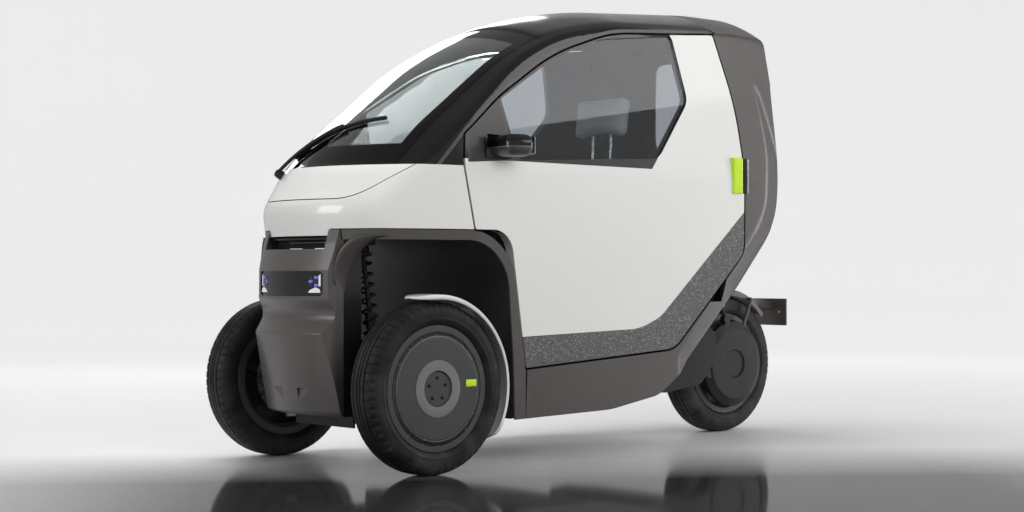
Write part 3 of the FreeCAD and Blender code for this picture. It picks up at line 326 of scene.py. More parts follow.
def satin_grey():
    material, tree, shader = surface("satin_grey", Coat_Weight=0.35, Coat_Roughness=0.22, IOR=1.5,
                                     Metallic=0.25)
    tone = use(tree, TONE, Colour=WARM_GREY, Amount=0.04, Scale=5.0)
    film = use(tree, DUST, Colour=tone["Colour"], Clean_Height=0.4, Amount=0.1)
    tree.links.new(film["Colour"], shader.inputs["Base Color"])
    handled(tree, shader, 0.42, 0.04, 9.0)
    relief(tree, shader, use(tree, GRAIN, Scale=1100.0)["Height"], 0.00003, 0.6)
    return material


def plain_plastic(name, colour, middle, grain_scale, depth, coat=0.0):
    """Black and coloured plastics differ only in colour, roughness and how deep their grain is."""
    material, tree, shader = surface(name, Coat_Weight=coat, Coat_Roughness=0.04, IOR=1.48)
    toned(tree, shader, colour, 0.05, 6.0)
    handled(tree, shader, middle, 0.03, 10.0)
    relief(tree, shader, use(tree, GRAIN, Scale=grain_scale)["Height"], depth, 0.6)
    return material


SATIN = satin_grey()
GLOSS_BLACK = plain_plastic("gloss_black", DEEP_BLACK, 0.16, 300.0, 0.00001, coat=0.25)
TRIM_BLACK = plain_plastic("trim_black", tint(26, 26, 27), 0.62, 700.0, 0.00012)
LIME = plain_plastic("lime", tint(196, 236, 30), 0.25, 500.0, 0.00002, coat=0.8)
LAMP_RED = plain_plastic("lamp_red", tint(150, 12, 14), 0.1, 300.0, 0.00001, coat=1.0)
SEAL_RUBBER = plain_plastic("seal_rubber", tint(18, 18, 18), 0.75, 900.0, 0.00005)

# %% [markdown]
# The door is one moulding in two colours: white below the window line and behind the window, gloss
# black round the rest of the glass. The mask is drawn from heights and lengths on the door, so it
# is paint on the door and stays with it. The mirror is split in the same way by height, and the
# fascia by how deep its side walls run back beside the wheels.

# %% Finish: two-tone door, mirror and fascia
WINDOW_LINE = 0.948
SAIL_EDGE, MIRROR_SPLIT = 0.391, 0.984
FASCIA_SIDE, FASCIA_DEEP = 0.1835, -1.052
REAR_EDGE_TOP, REAR_EDGE_KNEE, REAR_EDGE_FOOT = (0.232, 1.413), (0.286, 1.190), (0.114, 0.985)


def edge_line(tree, height, low, high):
    """The y of a straight edge at a height, from two of its points given as y and z."""
    slope = (high[0] - low[0]) / (high[1] - low[1])
    return maths(tree, "ADD", maths(tree, "MULTIPLY", height, slope), low[0] - slope * low[1])


def window_black(tree):
    """The part of the door that is black: above the window line and ahead of its rear edge."""
    here = axes_of(tree)
    upper = edge_line(tree, here["Z"], REAR_EDGE_KNEE, REAR_EDGE_TOP)
    lower = edge_line(tree, here["Z"], REAR_EDGE_FOOT, REAR_EDGE_KNEE)
    ahead = maths(tree, "LESS_THAN", here["Y"], maths(tree, "MINIMUM", upper, lower))
    return maths(tree, "MULTIPLY", ahead, maths(tree, "GREATER_THAN", here["Z"], WINDOW_LINE))


def mirror_finish():
    """Satin sail plate against the door, gloss black cap, and a paler lower half."""
    material, tree, shader = surface("mirror_finish", Coat_Weight=0.3, Coat_Roughness=0.1, IOR=1.48)
    here = axes_of(tree)
    plate = maths(tree, "LESS_THAN", maths(tree, "ABSOLUTE", here["X"]), SAIL_EDGE)
    satin = maths(tree, "MAXIMUM", plate, maths(tree, "LESS_THAN", here["Z"], MIRROR_SPLIT))
    toned(tree, shader, mixed(tree, satin, tint(9, 9, 10), tint(64, 61, 60)), 0.04, 6.0)
    tree.links.new(ramp(tree, satin, 0.0, 1.0, 0.12, 0.42), shader.inputs["Roughness"])
    relief(tree, shader, use(tree, GRAIN, Scale=900.0)["Height"], 0.00003, 0.5)
    return material


def fascia_plastic():
    """Warm satin grey on the nose's face; the return walls beside the wheels are plain black."""
    material, tree, shader = surface("fascia_plastic", Roughness=0.38, Coat_Weight=0.3, Coat_Roughness=0.2,
                                     IOR=1.48)
    here = axes_of(tree)
    side = maths(tree, "GREATER_THAN", maths(tree, "ABSOLUTE", here["X"]), FASCIA_SIDE)
    deep = maths(tree, "MULTIPLY", side, maths(tree, "GREATER_THAN", here["Y"], FASCIA_DEEP))
    tone = use(tree, TONE, Colour=WARM_GREY, Amount=0.04, Scale=5.0)
    tree.links.new(mixed(tree, deep, tone["Colour"], tint(20, 20, 20)), shader.inputs["Base Color"])
    relief(tree, shader, use(tree, GRAIN, Scale=1100.0)["Height"], 0.00004, 0.5)
    return material


FASCIA = fascia_plastic()
DOOR_PAINT = painted("door_paint", 0.36, 0.7, window_black)
MIRROR_FINISH = mirror_finish()

# %% Finish: recycled band and cloth


def recycled_band():
    material, tree, shader = surface("recycled_band", Roughness=0.6, IOR=1.5)
    chips = use(tree, CHIPS)
    tree.links.new(chips["Colour"], shader.inputs["Base Color"])
    relief(tree, shader, chips["Height"], 0.00025, 0.7)
    return material


def seat_cloth(name, colour, thread):
    material, tree, shader = surface(name, Roughness=0.85, Sheen_Weight=0.25, Sheen_Roughness=0.5)
    weave = use(tree, WEAVE, Colour=colour, Thread_Colour=thread, Scale=240.0)
    toned(tree, shader, weave["Colour"], 0.06, 7.0)
    relief(tree, shader, weave["Height"], 0.0006, 0.8)
    return material


RECYCLED = recycled_band()
CLOTH_DARK = seat_cloth("cloth_dark", tint(34, 34, 36), tint(58, 58, 61))
CLOTH_PALE = seat_cloth("cloth_pale", tint(206, 208, 208), tint(236, 238, 238))

# %% [markdown]
# Glass is tinted through its base colour. Side glass is a light grey, lamp lenses are clear, and
# the windscreen is nearly clear inside a black ceramic border that is fired on round its edge.

# %% Finish: glass and lenses


def glass(name, colour, roughness=0.0, border=None):
    material, tree, shader = surface(name, Base_Color=colour, Roughness=roughness, IOR=1.45,
                                     Transmission_Weight=1.0)
    if border:
        tree.links.new(mixed(tree, border(tree), colour, tint(2, 2, 2)), shader.inputs["Base Color"])
    relief(tree, shader, noise(tree, 6.0, 1.0), 0.00002, 0.3)
    return material


def screen_border(tree):
    """The black border's lower, near, far and upper bands, each from one coordinate."""
    here = axes_of(tree)
    low = maths(tree, "LESS_THAN", here["Z"], 0.992)
    near = maths(tree, "GREATER_THAN", here["X"], 0.262)
    far = maths(tree, "LESS_THAN", here["X"], -0.225)
    high = maths(tree, "GREATER_THAN", here["Y"], -0.43)
    return maths(tree, "MAXIMUM", maths(tree, "MAXIMUM", low, near), maths(tree, "MAXIMUM", far, high))


SIDE_GLASS = glass("side_glass", tint(196, 200, 204))
SCREEN_GLASS = glass("screen_glass", tint(206, 214, 212), border=screen_border)
LENS = glass("lens", tint(240, 244, 248), 0.02)

# %% Finish: metals and rubber


def metal(name, colour, middle, scale, metallic=1.0):
    material, tree, shader = surface(name, Metallic=metallic)
    toned(tree, shader, colour, 0.06, 9.0)
    handled(tree, shader, middle, 0.06, scale)
    relief(tree, shader, noise(tree, scale * 12, 3.0), 0.00006, 0.5)
    return material


def tyre_rubber():
    material, tree, shader = surface("tyre_rubber", IOR=1.5, Specular_IOR_Level=0.35)
    tone = use(tree, TONE, Colour=tint(19, 19, 20), Amount=0.12, Scale=18.0)
    film = use(tree, DUST, Colour=tone["Colour"], Clean_Height=0.7, Amount=0.14)
    tree.links.new(film["Colour"], shader.inputs["Base Color"])
    handled(tree, shader, 0.6, 0.06, 25.0)
    relief(tree, shader, use(tree, GRAIN, Scale=600.0)["Height"], 0.0001, 0.7)
    return material


ALLOY = metal("alloy", tint(176, 178, 180), 0.35, 30.0)
STEEL = metal("steel", tint(165, 165, 166), 0.25, 60.0)
BLACK_STEEL = metal("black_steel", tint(30, 30, 31), 0.45, 40.0, metallic=0.4)
COVER_GREY = metal("cover_grey", tint(74, 74, 75), 0.45, 30.0, metallic=0.25)
TYRE_RUBBER = tyre_rubber()

# %% [markdown]
# Each node keeps its mesh and only changes its finish. Flat shading between facets would show on
# the big curved panels, so faces are shaded smooth and only real corners stay sharp.

# %% Dress the nodes
FINISHES = [
    (FASCIA, ["front_fascia"]),
    (PAINT, ["front_shell", "bonnet_panel", "fender_left", "fender_right"]),
    (DOOR_PAINT, ["door_left", "door_right"]),
    (MIRROR_FINISH, ["mirror_left", "mirror_right"]),
    (SATIN, ["arch_bands", "body_hoops", "chin_panel", "rear_mudguard", "rain_rails", "rear_spoiler"]),
    (GLOSS_BLACK, ["roof_panel", "roof_pillars", "headlamp_bar", "rear_panel"]),
    (TRIM_BLACK, ["chassis_tub", "dashboard", "floor_panel", "rear_undertray", "seat_stand", "steering_wheel",
                  "tail_housing", "wheel_well_liner"]),
    (RECYCLED, ["door_stripe_left", "door_stripe_right"]),
    (LIME, ["door_handle_left", "door_handle_right"]),
    (SIDE_GLASS, ["door_glass_left", "door_glass_right", "rear_window"]),
    (SCREEN_GLASS, ["windscreen"]),
    (LENS, ["headlamps"]),
    (LAMP_RED, ["tail_lamps"]),
    (ALLOY, ["knuckle_left", "knuckle_right"]),
    (STEEL, ["steering_rack"]),
    (BLACK_STEEL, ["battery_block", "door_hinges", "drive_housing", "front_struts", "front_subframe",
                   "rear_strut",
                   "swing_arm", "wiper", "wishbones"]),
    (COVER_GREY, ["front_wheel_left", "front_wheel_right", "rear_wheel"]),
    (TYRE_RUBBER, ["front_tyre_left", "front_tyre_right", "rear_tyre"]),
    (CLOTH_DARK, ["driver_seat", "passenger_seat"]),
]
SHARP_ANGLE = math.radians(28)
dressed = 0
for finish, names in FINISHES:
    for name in names:
        mesh = NODES[name].data
        mesh.materials.clear()
        mesh.materials.append(finish)
        mesh.shade_smooth()
        mesh.set_sharp_from_angle(angle=SHARP_ANGLE)
        dressed += 1
print("dressed", dressed, "of", len(NODES), "nodes")

# %% [markdown]
# The body panels are thin shells that meet in soft ridges on the real car. The drawing keeps those
# ridges sharp, so each panel gets a copy whose long edges are cut short and whose normals are the
# average of the skin within a few centimetres. Every panel looks at the same cloud of faces, so the
# shading runs on across the shut lines. Faces that point elsewhere, such as a panel's inside or its
# cut edge, are left out of the average, and they also get a darker finish of their own.

# %% Soft ridges on the body panels
# Columns: node, body, outer finish, finish of the inside and cut edges, reach of the average
PANELS = [
    ("front_shell", "cab", PAINT, TRIM_BLACK, 0.055),
    ("bonnet_panel", "cab", PAINT, TRIM_BLACK, 0.055),
    ("door_left", "left_door_leaf", DOOR_PAINT, TRIM_BLACK, 0.045),
    ("door_right", "right_door_leaf", DOOR_PAINT, TRIM_BLACK, 0.045),
    ("roof_pillars", "cab", GLOSS_BLACK, TRIM_BLACK, 0.04),
    ("windscreen", "cab", SCREEN_GLASS, SCREEN_GLASS, 0.03),
    ("roof_panel", "cab", GLOSS_BLACK, TRIM_BLACK, 0.04),
    ("rear_spoiler", "cab", SATIN, TRIM_BLACK, 0.03),
    ("body_hoops", "cab", SATIN, TRIM_BLACK, 0.03),
    ("rear_panel", "cab", GLOSS_BLACK, TRIM_BLACK, 0.03),
]
LONGEST_EDGE, SAME_SIDE, FACES_OUT = 0.026, 0.3, 0.12


def linked(name, data):
    """A new object in the scene."""
    thing = bpy.data.objects.new(name, data)
    bpy.context.scene.collection.objects.link(thing)
    return thing


def opened(*meshes):
    """One editable shape that holds all the meshes."""
    shape = bmesh.new()
    for mesh in meshes:
        shape.from_mesh(mesh)
    return shape


def closed(shape, mesh):
    """Write the shape into a mesh, given as a mesh or as a new one's name."""
    mesh = bpy.data.meshes.new(mesh) if isinstance(mesh, str) else mesh
    shape.to_mesh(mesh)
    shape.free()
    return mesh


def cut_short(mesh):
    """Weld the copy's split corners, then halve long edges until none is longer than the limit."""
    shape = opened(mesh)
    bmesh.ops.remove_doubles(shape, verts=shape.verts, dist=1e-5)
    for _ in range(5):
        long_edges = [e for e in shape.edges if e.calc_length() > LONGEST_EDGE]
        if not long_edges:
            break
        bmesh.ops.subdivide_edges(shape, edges=long_edges, cuts=1)
        bmesh.ops.triangulate(shape, faces=[f for f in shape.faces if len(f.verts) > 3])
    closed(shape, mesh)


def inner_or_cut(polygon):
    """True for a face that looks at the cabin or lies on a panel's cut edge."""
    middle = Vector((0.0, polygon.center.y * 0.75, min(max(polygon.center.z, 0.5), 1.1)))
    return polygon.normal.dot((polygon.center - middle).normalized()) < FACES_OUT


def soft_panels():
    copies = []
    for node, body, finish, inside, reach in PANELS:
        mesh = NODES[node].data.copy()
        mesh.name = node + "_skin"
        cut_short(mesh)
        mesh.materials.clear()
        mesh.materials.append(finish)
        mesh.materials.append(inside)
        for polygon in mesh.polygons:
            polygon.material_index = 1 if inside is not finish and inner_or_cut(polygon) else 0
        copies.append((node, body, mesh, reach))
    skin = [polygon for _, _, mesh, _ in copies for polygon in mesh.polygons]
    centres, normals, areas = (np.array([getattr(p, key) for p in skin]) for key in ("center", "normal",
                                                                                     "area"))
    cloud = KDTree(len(centres))
    for i, centre in enumerate(centres):
        cloud.insert(centre, i)
    cloud.balance()
    for node, body, mesh, reach in copies:
        corners = [None] * len(mesh.loops)
        around = {}
        for polygon in mesh.polygons:
            own = np.array(polygon.normal)
            for loop in polygon.loop_indices:
                vertex = mesh.loops[loop].vertex_index
                if vertex not in around:
                    found = cloud.find_range(mesh.vertices[vertex].co, reach)
                    index = np.array([f[1] for f in found], dtype=int)
                    share = np.array([1 - f[2] / reach for f in found]) ** 2
                    around[vertex] = (normals[index], areas[index] * share) if len(index) else None
                near = around[vertex]
                mean = own
                if near is not None:
                    facing = near[0] @ own
                    weight = near[1] * (facing > SAME_SIDE)
                    if weight.sum() > 0:
                        mean = weight @ near[0]
                length = float(np.linalg.norm(mean))
                corners[loop] = tuple(mean / length) if length > 1e-9 else tuple(own)
        mesh.shade_smooth()
        mesh.normals_split_custom_set(corners)
        panel = linked(node + "_skin", mesh)
        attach(panel, body)
        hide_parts(node)
    print("soft panels", len(copies), "faces", len(centres))


soft_panels()

# %% [markdown]
# A few makers serve all the small pieces. One puts a mesh on its body with a finish, and one makes
# the right side's copy. Others turn an outline about a wheel's axle or a damper, run a tube along
# points, round off a block, and find the skin under a point.

# %% Makers
FRONT_AXLE_Y, REAR_AXLE_Y, AXLE_Z, WHEEL_X = -0.888, 0.848, 0.258, 0.388


def add_piece(name, mesh, body, finish, stands_for=()):
    """Put a mesh on its body with a finish; stands_for names the nodes that it replaces."""
    thing = linked(name, mesh)
    mesh.materials.clear()
    mesh.materials.append(finish)
    mesh.shade_smooth()
    mesh.set_sharp_from_angle(angle=math.radians(40))
    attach(thing, body)
    if stands_for:
        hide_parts(*stands_for)
    return thing


def side_piece(name, mesh, side, body, finish):
    """A piece that is drawn for the left; the right one is its mirror image."""
    return add_piece(name + side, mesh if side == "left" else mirror_mesh(mesh), body, finish)


def about(centre, along, radius, angle):
    """A point at an angle from straight up, round an axle that lies across the vehicle."""
    return (centre[0] + along, centre[1] + radius * math.sin(angle), centre[2] + radius * math.cos(angle))


def strip_faces(rows, columns, closed_round=False):
    """Quads of a grid of points; a closed one joins its last row and column to the first."""
    across, down = (columns, rows) if closed_round else (columns - 1, rows - 1)
    faces = []
    for i in range(down):
        for j in range(across):
            right, below = (j + 1) % columns, (i + 1) % rows
            faces.append((i * columns + j, i * columns + right, below * columns + right, below * columns + j))
    return faces


def gauged(thing):
    """Give a sheet its four millimetres."""
    gauge = thing.modifiers.new("gauge", "SOLIDIFY")
    gauge.thickness, gauge.offset = 0.004, 0.0


def mesh_of(name, vertices, faces):
    mesh = bpy.data.meshes.new(name)
    mesh.from_pydata(vertices, [], faces)
    shape = opened(mesh)
    bmesh.ops.remove_doubles(shape, verts=shape.verts, dist=1e-6)
    bmesh.ops.recalc_face_normals(shape, faces=shape.faces)
    return closed(shape, mesh)


def turned(name, outline, centre, angles=96, sink=None):
    """Turn (place along X, radius) points about the X axis; sink(i, j) may lower one point."""
    if isinstance(angles, int):
        angles = [2 * math.pi * k / angles for k in range(angles)]
    vertices = [about(centre, along, radius - (sink(i, j) if sink else 0.0), angle)
                for i, angle in enumerate(angles) for j, (along, radius) in enumerate(outline)]
    return mesh_of(name, vertices, strip_faces(len(angles), len(outline), closed_round=True))


def tube_mesh(name, points, radius, smooth=True, sides=5):
    curve = bpy.data.curves.new(name, "CURVE")
    curve.dimensions = "3D"
    curve.bevel_depth = radius
    curve.bevel_resolution = sides
    curve.use_fill_caps = True
    spline = curve.splines.new("NURBS" if smooth else "POLY")
    spline.points.add(len(points) - 1)
    for point, place in zip(spline.points, points):
        point.co = (*place, 1)
    if smooth:
        spline.order_u = min(4, len(points))
        spline.use_endpoint_u = True
    holder = bpy.data.objects.new(name, curve)
    mesh = bpy.data.meshes.new_from_object(holder)
    bpy.data.objects.remove(holder)
    return mesh


def tilted(degrees, axis="X"):
    return Matrix.Rotation(math.radians(degrees), 3, axis)


def rounded_block(name, centre, sizes, bevel, turn=None, segments=3):
    """A block with rounded edges; turn is a rotation about its own centre."""
    shape = opened()
    bmesh.ops.create_cube(shape, size=1.0, matrix=Matrix.Diagonal((*sizes, 1.0)))
    bmesh.ops.bevel(shape, geom=list(shape.edges), offset=bevel, segments=segments, profile=0.5,
                    affect="EDGES")
    place = Matrix.Translation(centre) @ (turn.to_4x4() if turn else Matrix.Identity(4))
    bmesh.ops.transform(shape, matrix=place, verts=shape.verts)
    return closed(shape, name)


def together(name, meshes):
    """Several meshes as one."""
    return closed(opened(*meshes), name)


def mirror_mesh(mesh):
    """The other side's copy of a mesh, across the vehicle's middle plane."""
    shape = opened(mesh)
    bmesh.ops.scale(shape, vec=(-1, 1, 1), verts=shape.verts)
    bmesh.ops.reverse_faces(shape, faces=shape.faces)
    return closed(shape, mesh.name + "_other")


def tree_of(*nodes):
    places, faces = [], []
    for node in nodes:
        mesh, first = NODES[node].data, len(places)
        places += [v.co.copy() for v in mesh.vertices]
        faces += [tuple(first + v for v in p.vertices) for p in mesh.polygons]
    return BVHTree.FromPolygons(places, faces)


def skin_point(tree, start, way, gap=0.0):
    """Where a straight look from start along way meets the skin, held off by a gap."""
    place, normal, _, _ = tree.ray_cast(Vector(start), Vector(way).normalized())
    if normal.dot(Vector(way)) > 0:
        normal = -normal
    return place + normal * gap


SIDES = (("left", 1), ("right", -1))

# %% [markdown]
# Tyres are turned from one section with four grooves, and the shoulders carry narrow sipes. The
# sipes are real dips: at each one the list of angles has four steps close together, and the two in
# the middle are sunk by three millimetres. The section is written as place across and radius.

# %% Tyres
HALF_SECTION = [
    (0.0400, 0.1780), (0.0400, 0.1870), (0.0460, 0.1900), (0.0530, 0.1990), (0.0543, 0.2040),
    (0.0551, 0.2050),
    (0.0553, 0.2075), (0.0549, 0.2085), (0.0558, 0.2150), (0.0558, 0.2240), (0.0535, 0.2360),
    (0.0485, 0.2465),
    (0.0400, 0.2535),
    (0.0300, 0.2568), (0.0268, 0.2573), (0.0262, 0.2530), (0.0228, 0.2530), (0.0222, 0.2576),
    (0.0085, 0.2580),
    (0.0080, 0.2535), (0.0045, 0.2535), (0.0040, 0.2580),
]
SIPES, SIPE_DEPTH = 60, 0.003
SIPE_ANGLES = (0.0, 0.25, 0.85, 1.1, 3.4)


def tyre_mesh(name, centre):
    section = HALF_SECTION + [(-a, r) for a, r in reversed(HALF_SECTION)]
    angles = [math.radians(k * 360 / SIPES + step) for k in range(SIPES) for step in SIPE_ANGLES]
    shoulder = {j for j, (a, r) in enumerate(section) if 0.029 < abs(a) < 0.05 and r > 0.24}

    def sink(i, j):
        return SIPE_DEPTH if i % len(SIPE_ANGLES) in (1, 2) and j in shoulder else 0.0
    return turned(name, section, centre, angles, sink)


for side, sign in SIDES:
    mesh = tyre_mesh("tyre_" + side, (sign * WHEEL_X, FRONT_AXLE_Y, AXLE_Z))
    add_piece("tread_tyre_" + side, mesh, side + "_front_wheel", TYRE_RUBBER, ["front_tyre_" + side])
mesh = tyre_mesh("tyre_rear", (0, REAR_AXLE_Y, AXLE_Z))
add_piece("tread_tyre_rear", mesh, "rear_road_wheel", TYRE_RUBBER, ["rear_tyre"])
print("tyre faces", len(mesh.polygons))

# %% [markdown]
# The front wheels wear a flat cover. A pale ring sits round the hub, a lime tag marks the valve,
# and dark slots follow the rim with a thin bright edge beside them. Behind the wheel a brake disc
# and its caliper show from the far side.

# %% Wheel dressing
RING_PALE = plain_plastic("ring_pale", tint(112, 112, 113), 0.3, 400.0, 0.00003, coat=0.5)
SLOT_COUNT, SLOT_SPAN, BOLT_COUNT, BOLT_CIRCLE = 18, math.radians(17.2), 5, 0.033
CALIPER_FROM, CALIPER_SPAN = math.radians(205), math.radians(34)
LEFT_HUB = (WHEEL_X, FRONT_AXLE_Y, AXLE_Z)
# Outlines: place along the axle from the wheel's middle, radius
HUB_RING = [(0.0480, 0.0530), (0.0503, 0.0535), (0.0506, 0.0560), (0.0506, 0.0820), (0.0503, 0.0845),
            (0.0480, 0.0850)]
BRIGHT_EDGE = [(0.0470, 0.1540), (0.0493, 0.1545), (0.0493, 0.1560), (0.0460, 0.1570)]
DISC = [(-0.0330, 0.052), (-0.0330, 0.108), (-0.0290, 0.108), (-0.0290, 0.052)]
BELL = [(-0.0320, 0.040), (-0.0320, 0.056), (-0.0250, 0.056), (-0.0190, 0.046), (-0.0190, 0.040)]
BOLT = [(0.0460, 0.0), (0.0460, 0.0052), (0.0488, 0.0052), (0.0495, 0.0040), (0.0495, 0.0)]


def arc_plate(inner, outer, start, span, x0, x1, centre, steps=10):
    """A flat curved bar between two radii, as a closed solid."""
    corners = ((x0, inner), (x0, outer), (x1, outer), (x1, inner))
    vertices = [about(centre, x, r, start + span * k / steps) for k in range(steps + 1) for x, r in corners]
    faces = []
    for k in range(steps):
        a, b = 4 * k, 4 * (k + 1)
        for j in range(4):
            faces.append((a + j, a + (j + 1) % 4, b + (j + 1) % 4, b + j))
    faces += [(0, 1, 2, 3), tuple(4 * steps + j for j in (3, 2, 1, 0))]
    return mesh_of("arc", vertices, faces)


def wheel_dressing():
    """Fresh meshes of one left wheel's pieces, each with its name and finish."""
    slots = [arc_plate(0.1580, 0.1690, 2 * math.pi * k / SLOT_COUNT, SLOT_SPAN, 0.0380, 0.0468, LEFT_HUB)
             for k in range(SLOT_COUNT)]
    bolts = [turned("bolt", BOLT, about(LEFT_HUB, 0.0, BOLT_CIRCLE, 2 * math.pi * k / BOLT_COUNT), 6)
             for k in range(BOLT_COUNT)]
    tag = rounded_block("tag", Vector(LEFT_HUB) + Vector((0.0497, 0.128, 0.012)), (0.003, 0.041, 0.021),
                        0.0012)
    brake = [turned("disc", DISC, LEFT_HUB, 72), turned("bell", BELL, LEFT_HUB, 48)]
    return [("hub_ring_", turned("hub_ring", HUB_RING, LEFT_HUB), RING_PALE),
            ("bright_edge_", turned("bright_edge", BRIGHT_EDGE, LEFT_HUB), ALLOY),
            ("slots_", together("slots", slots), GLOSS_BLACK), ("tag_", tag, LIME),
            ("brake_disc_", together("brake", brake), STEEL),
            ("wheel_bolts_", together("bolts", bolts), BLACK_STEEL)]


for side, sign in SIDES:
    for name, mesh, finish in wheel_dressing():
        side_piece(name, mesh, side, side + "_front_wheel", finish)
    caliper = arc_plate(0.078, 0.116, CALIPER_FROM, CALIPER_SPAN, -0.0440, -0.0180, LEFT_HUB)
    side_piece("caliper_", caliper, side, side + "_upright", ALLOY)

# %% [markdown]
# A damper is a dull body with a thinner rod, and a coil. The coil is a real helix: a tube along points
# that turn about the damper's own axis while they climb it.

# %% Struts with coils
FRONT_FOOT, FRONT_HEAD = Vector((0.215, -0.928, 0.172)), Vector((0.140, -0.944, 0.684))
REAR_FOOT, REAR_HEAD = Vector((0.079, 0.808, 0.426)), Vector((0.079, 0.672, 0.672))
EYE_FROM, EYE_TO = Vector((0, -0.018, -0.004)), Vector((0, 0.018, -0.004))
COIL_STEPS = 14
# Outlines: share of the way from foot to head, radius
DAMPER = [(0.0, 0.010), (0.0, 0.016), (0.40, 0.016), (0.405, 0.0275), (0.42, 0.0275), (0.425, 0.016),
          (0.60, 0.016),
          (0.605, 0.0078), (0.93, 0.0078), (0.935, 0.0275), (0.95, 0.0275), (0.955, 0.020), (0.998, 0.020)]
EYE = [(0.0, 0.006), (0.0, 0.012), (1.0, 0.012), (1.0, 0.006)]
COLLAR = [(0.20, 0.0150), (0.20, 0.0185), (0.25, 0.0195), (0.28, 0.0185), (0.28, 0.0150)]


def frame_along(foot, head):
    """A matrix whose Z runs from foot to head, standing at foot."""
    way = (head - foot).normalized()
    return Matrix.Translation(foot) @ way.to_track_quat("Z", "Y").to_matrix().to_4x4()


def round_point(place, radius, angle, height):
    return place @ Vector((radius * math.cos(angle), radius * math.sin(angle), height))


def lathe(name, rows, foot, head, steps=32):
    """Turn (share of the length, radius) rows about the line from foot to head."""
    length, place = (head - foot).length, frame_along(foot, head)
    vertices = [round_point(place, radius, 2 * math.pi * k / steps, share * length)
                for share, radius in rows for k in range(steps)]
    faces = [tuple(range(steps))[::-1], tuple((len(rows) - 1) * steps + k for k in range(steps))]
    for i in range(len(rows) - 1):
        low, high = i * steps, (i + 1) * steps
        faces += [(low + k, low + (k + 1) % steps, high + (k + 1) % steps, high + k) for k in range(steps)]
    return mesh_of(name, vertices, faces)


def coil(name, foot, head, low, high, turns, radius, wire):
    """A helix of wire between two shares of the length."""
    length, place = (head - foot).length, frame_along(foot, head)
    count = turns * COIL_STEPS
    points = [round_point(place, radius, 2 * math.pi * k / COIL_STEPS,
                          (low + (high - low) * k / count) * length)
              for k in range(count + 1)]
    return tube_mesh(name, points, wire, sides=3)


for side, sign in SIDES:
    foot, head = [Vector((sign * p.x, p.y, p.z)) for p in (FRONT_FOOT, FRONT_HEAD)]
    damper = [lathe("damper", DAMPER, foot, head), lathe("eye", EYE, foot + EYE_FROM, foot + EYE_TO)]
    add_piece("damper_" + side, together("damper_" + side, damper), "cab", BLACK_STEEL, ["front_struts"])
    add_piece("spring_" + side, coil("spring", foot, head, 0.428, 0.93, 8, 0.0225, 0.0042), "cab",
              BLACK_STEEL)
add_piece("rear_collar", lathe("collar", COLLAR, REAR_FOOT, REAR_HEAD), "cab", STEEL)
add_piece("rear_spring", coil("rear_spring", REAR_FOOT, REAR_HEAD, 0.28, 0.80, 6, 0.0195, 0.0035), "cab",
          BLACK_STEEL)

# %% [markdown]
# The front fenders are pressed strips: crowned across, rolled down at both edges, and rounded off
# at the front. A grid of points by angle and width gives the strip, and solidify gives its gauge.

# %% Fenders
FENDER_R, FENDER_FROM, FENDER_TO = 0.2775, math.radians(-15), math.radians(126)
FENDER_STEPS, FENDER_HALF = 40, 0.060
FRONT_ROUND, REAR_ROUND = 0.11, 0.07
STAY_X, STAY_R = 0.3205, 0.0055
# Columns: share of the half width, drop below the crown
FENDER_ROWS = [(-1.0, 0.014), (-0.985, 0.006), (-0.90, 0.0012), (-0.5, 0.0002), (0.0, 0.0), (0.5, 0.0002),
               (0.90, 0.0012), (0.985, 0.006), (1.0, 0.014)]


def rounding(share, reach):
    """Half of an ellipse: nothing at the very end, one from its reach inwards."""
    return math.sqrt(max(0.0, 1 - max(0.0, 1 - share / reach) ** 2))


def fender_mesh(sign):
    vertices = []
    for k in range(FENDER_STEPS + 1):
        share = k / FENDER_STEPS
        angle = FENDER_FROM + (FENDER_TO - FENDER_FROM) * share
        end = min(rounding(share, FRONT_ROUND), rounding(1 - share, REAR_ROUND))
        for part, drop in FENDER_ROWS:
            spot = about(LEFT_HUB, part * FENDER_HALF * max(0.10, end), FENDER_R - drop * max(0.2, end),
                         angle)
            vertices.append((sign * spot[0], spot[1], spot[2]))
    return mesh_of("fender", vertices, strip_faces(FENDER_STEPS + 1, len(FENDER_ROWS)))


def fender_stay(degrees):
    angle = math.radians(degrees)
    hub = Vector((STAY_X, FRONT_AXLE_Y, AXLE_Z + 0.02))
    foot, head = (Vector(about((STAY_X, FRONT_AXLE_Y, AXLE_Z), 0.0, radius, angle)) for radius in (0.06,
                                                                                                   0.268))
    points = [hub, foot, foot.lerp(head, 0.5), head, head + Vector((0.010, 0, 0))]
    return tube_mesh("stay", points, STAY_R, smooth=False)


for side, sign in SIDES:
    gauged(add_piece("fender_strip_" + side, fender_mesh(sign), side + "_upright", PAINT, ["fender_" + side]))
    side_piece("fender_stays_", together("stays", [fender_stay(24), fender_stay(66)]), side,
               side + "_upright",
               BLACK_STEEL)

# %% [markdown]
# The wiper lies parked along the foot of the screen: a heavy arm from the pivot to the middle of a
# curved blade. Each point is found on the glass or the cowl below it and held off by a gap, so arm
# and blade follow the screen's own curve.

# %% Wiper
SCREEN = tree_of("windscreen", "front_shell", "bonnet_panel", "roof_pillars")
# Lines on the plan, as start and end
WIPER_ARM = ((-0.203, -1.002), (-0.010, -0.915))
WIPER_BLADE = ((-0.165, -0.972), (0.148, -0.852))
BLADE_STEPS = 8
WIPER_HUB = [(0.0, 0.009), (0.0, 0.015), (0.55, 0.014), (0.9, 0.011), (1.0, 0.006)]


def on_screen(line, share, gap):
    """A point part of the way along a line on the plan, dropped on the glass and held off it."""
    (x0, y0), (x1, y1) = line
    return skin_point(SCREEN, (x0 + (x1 - x0) * share, y0 + (y1 - y0) * share, 3.0), (0, 0, -1), gap)


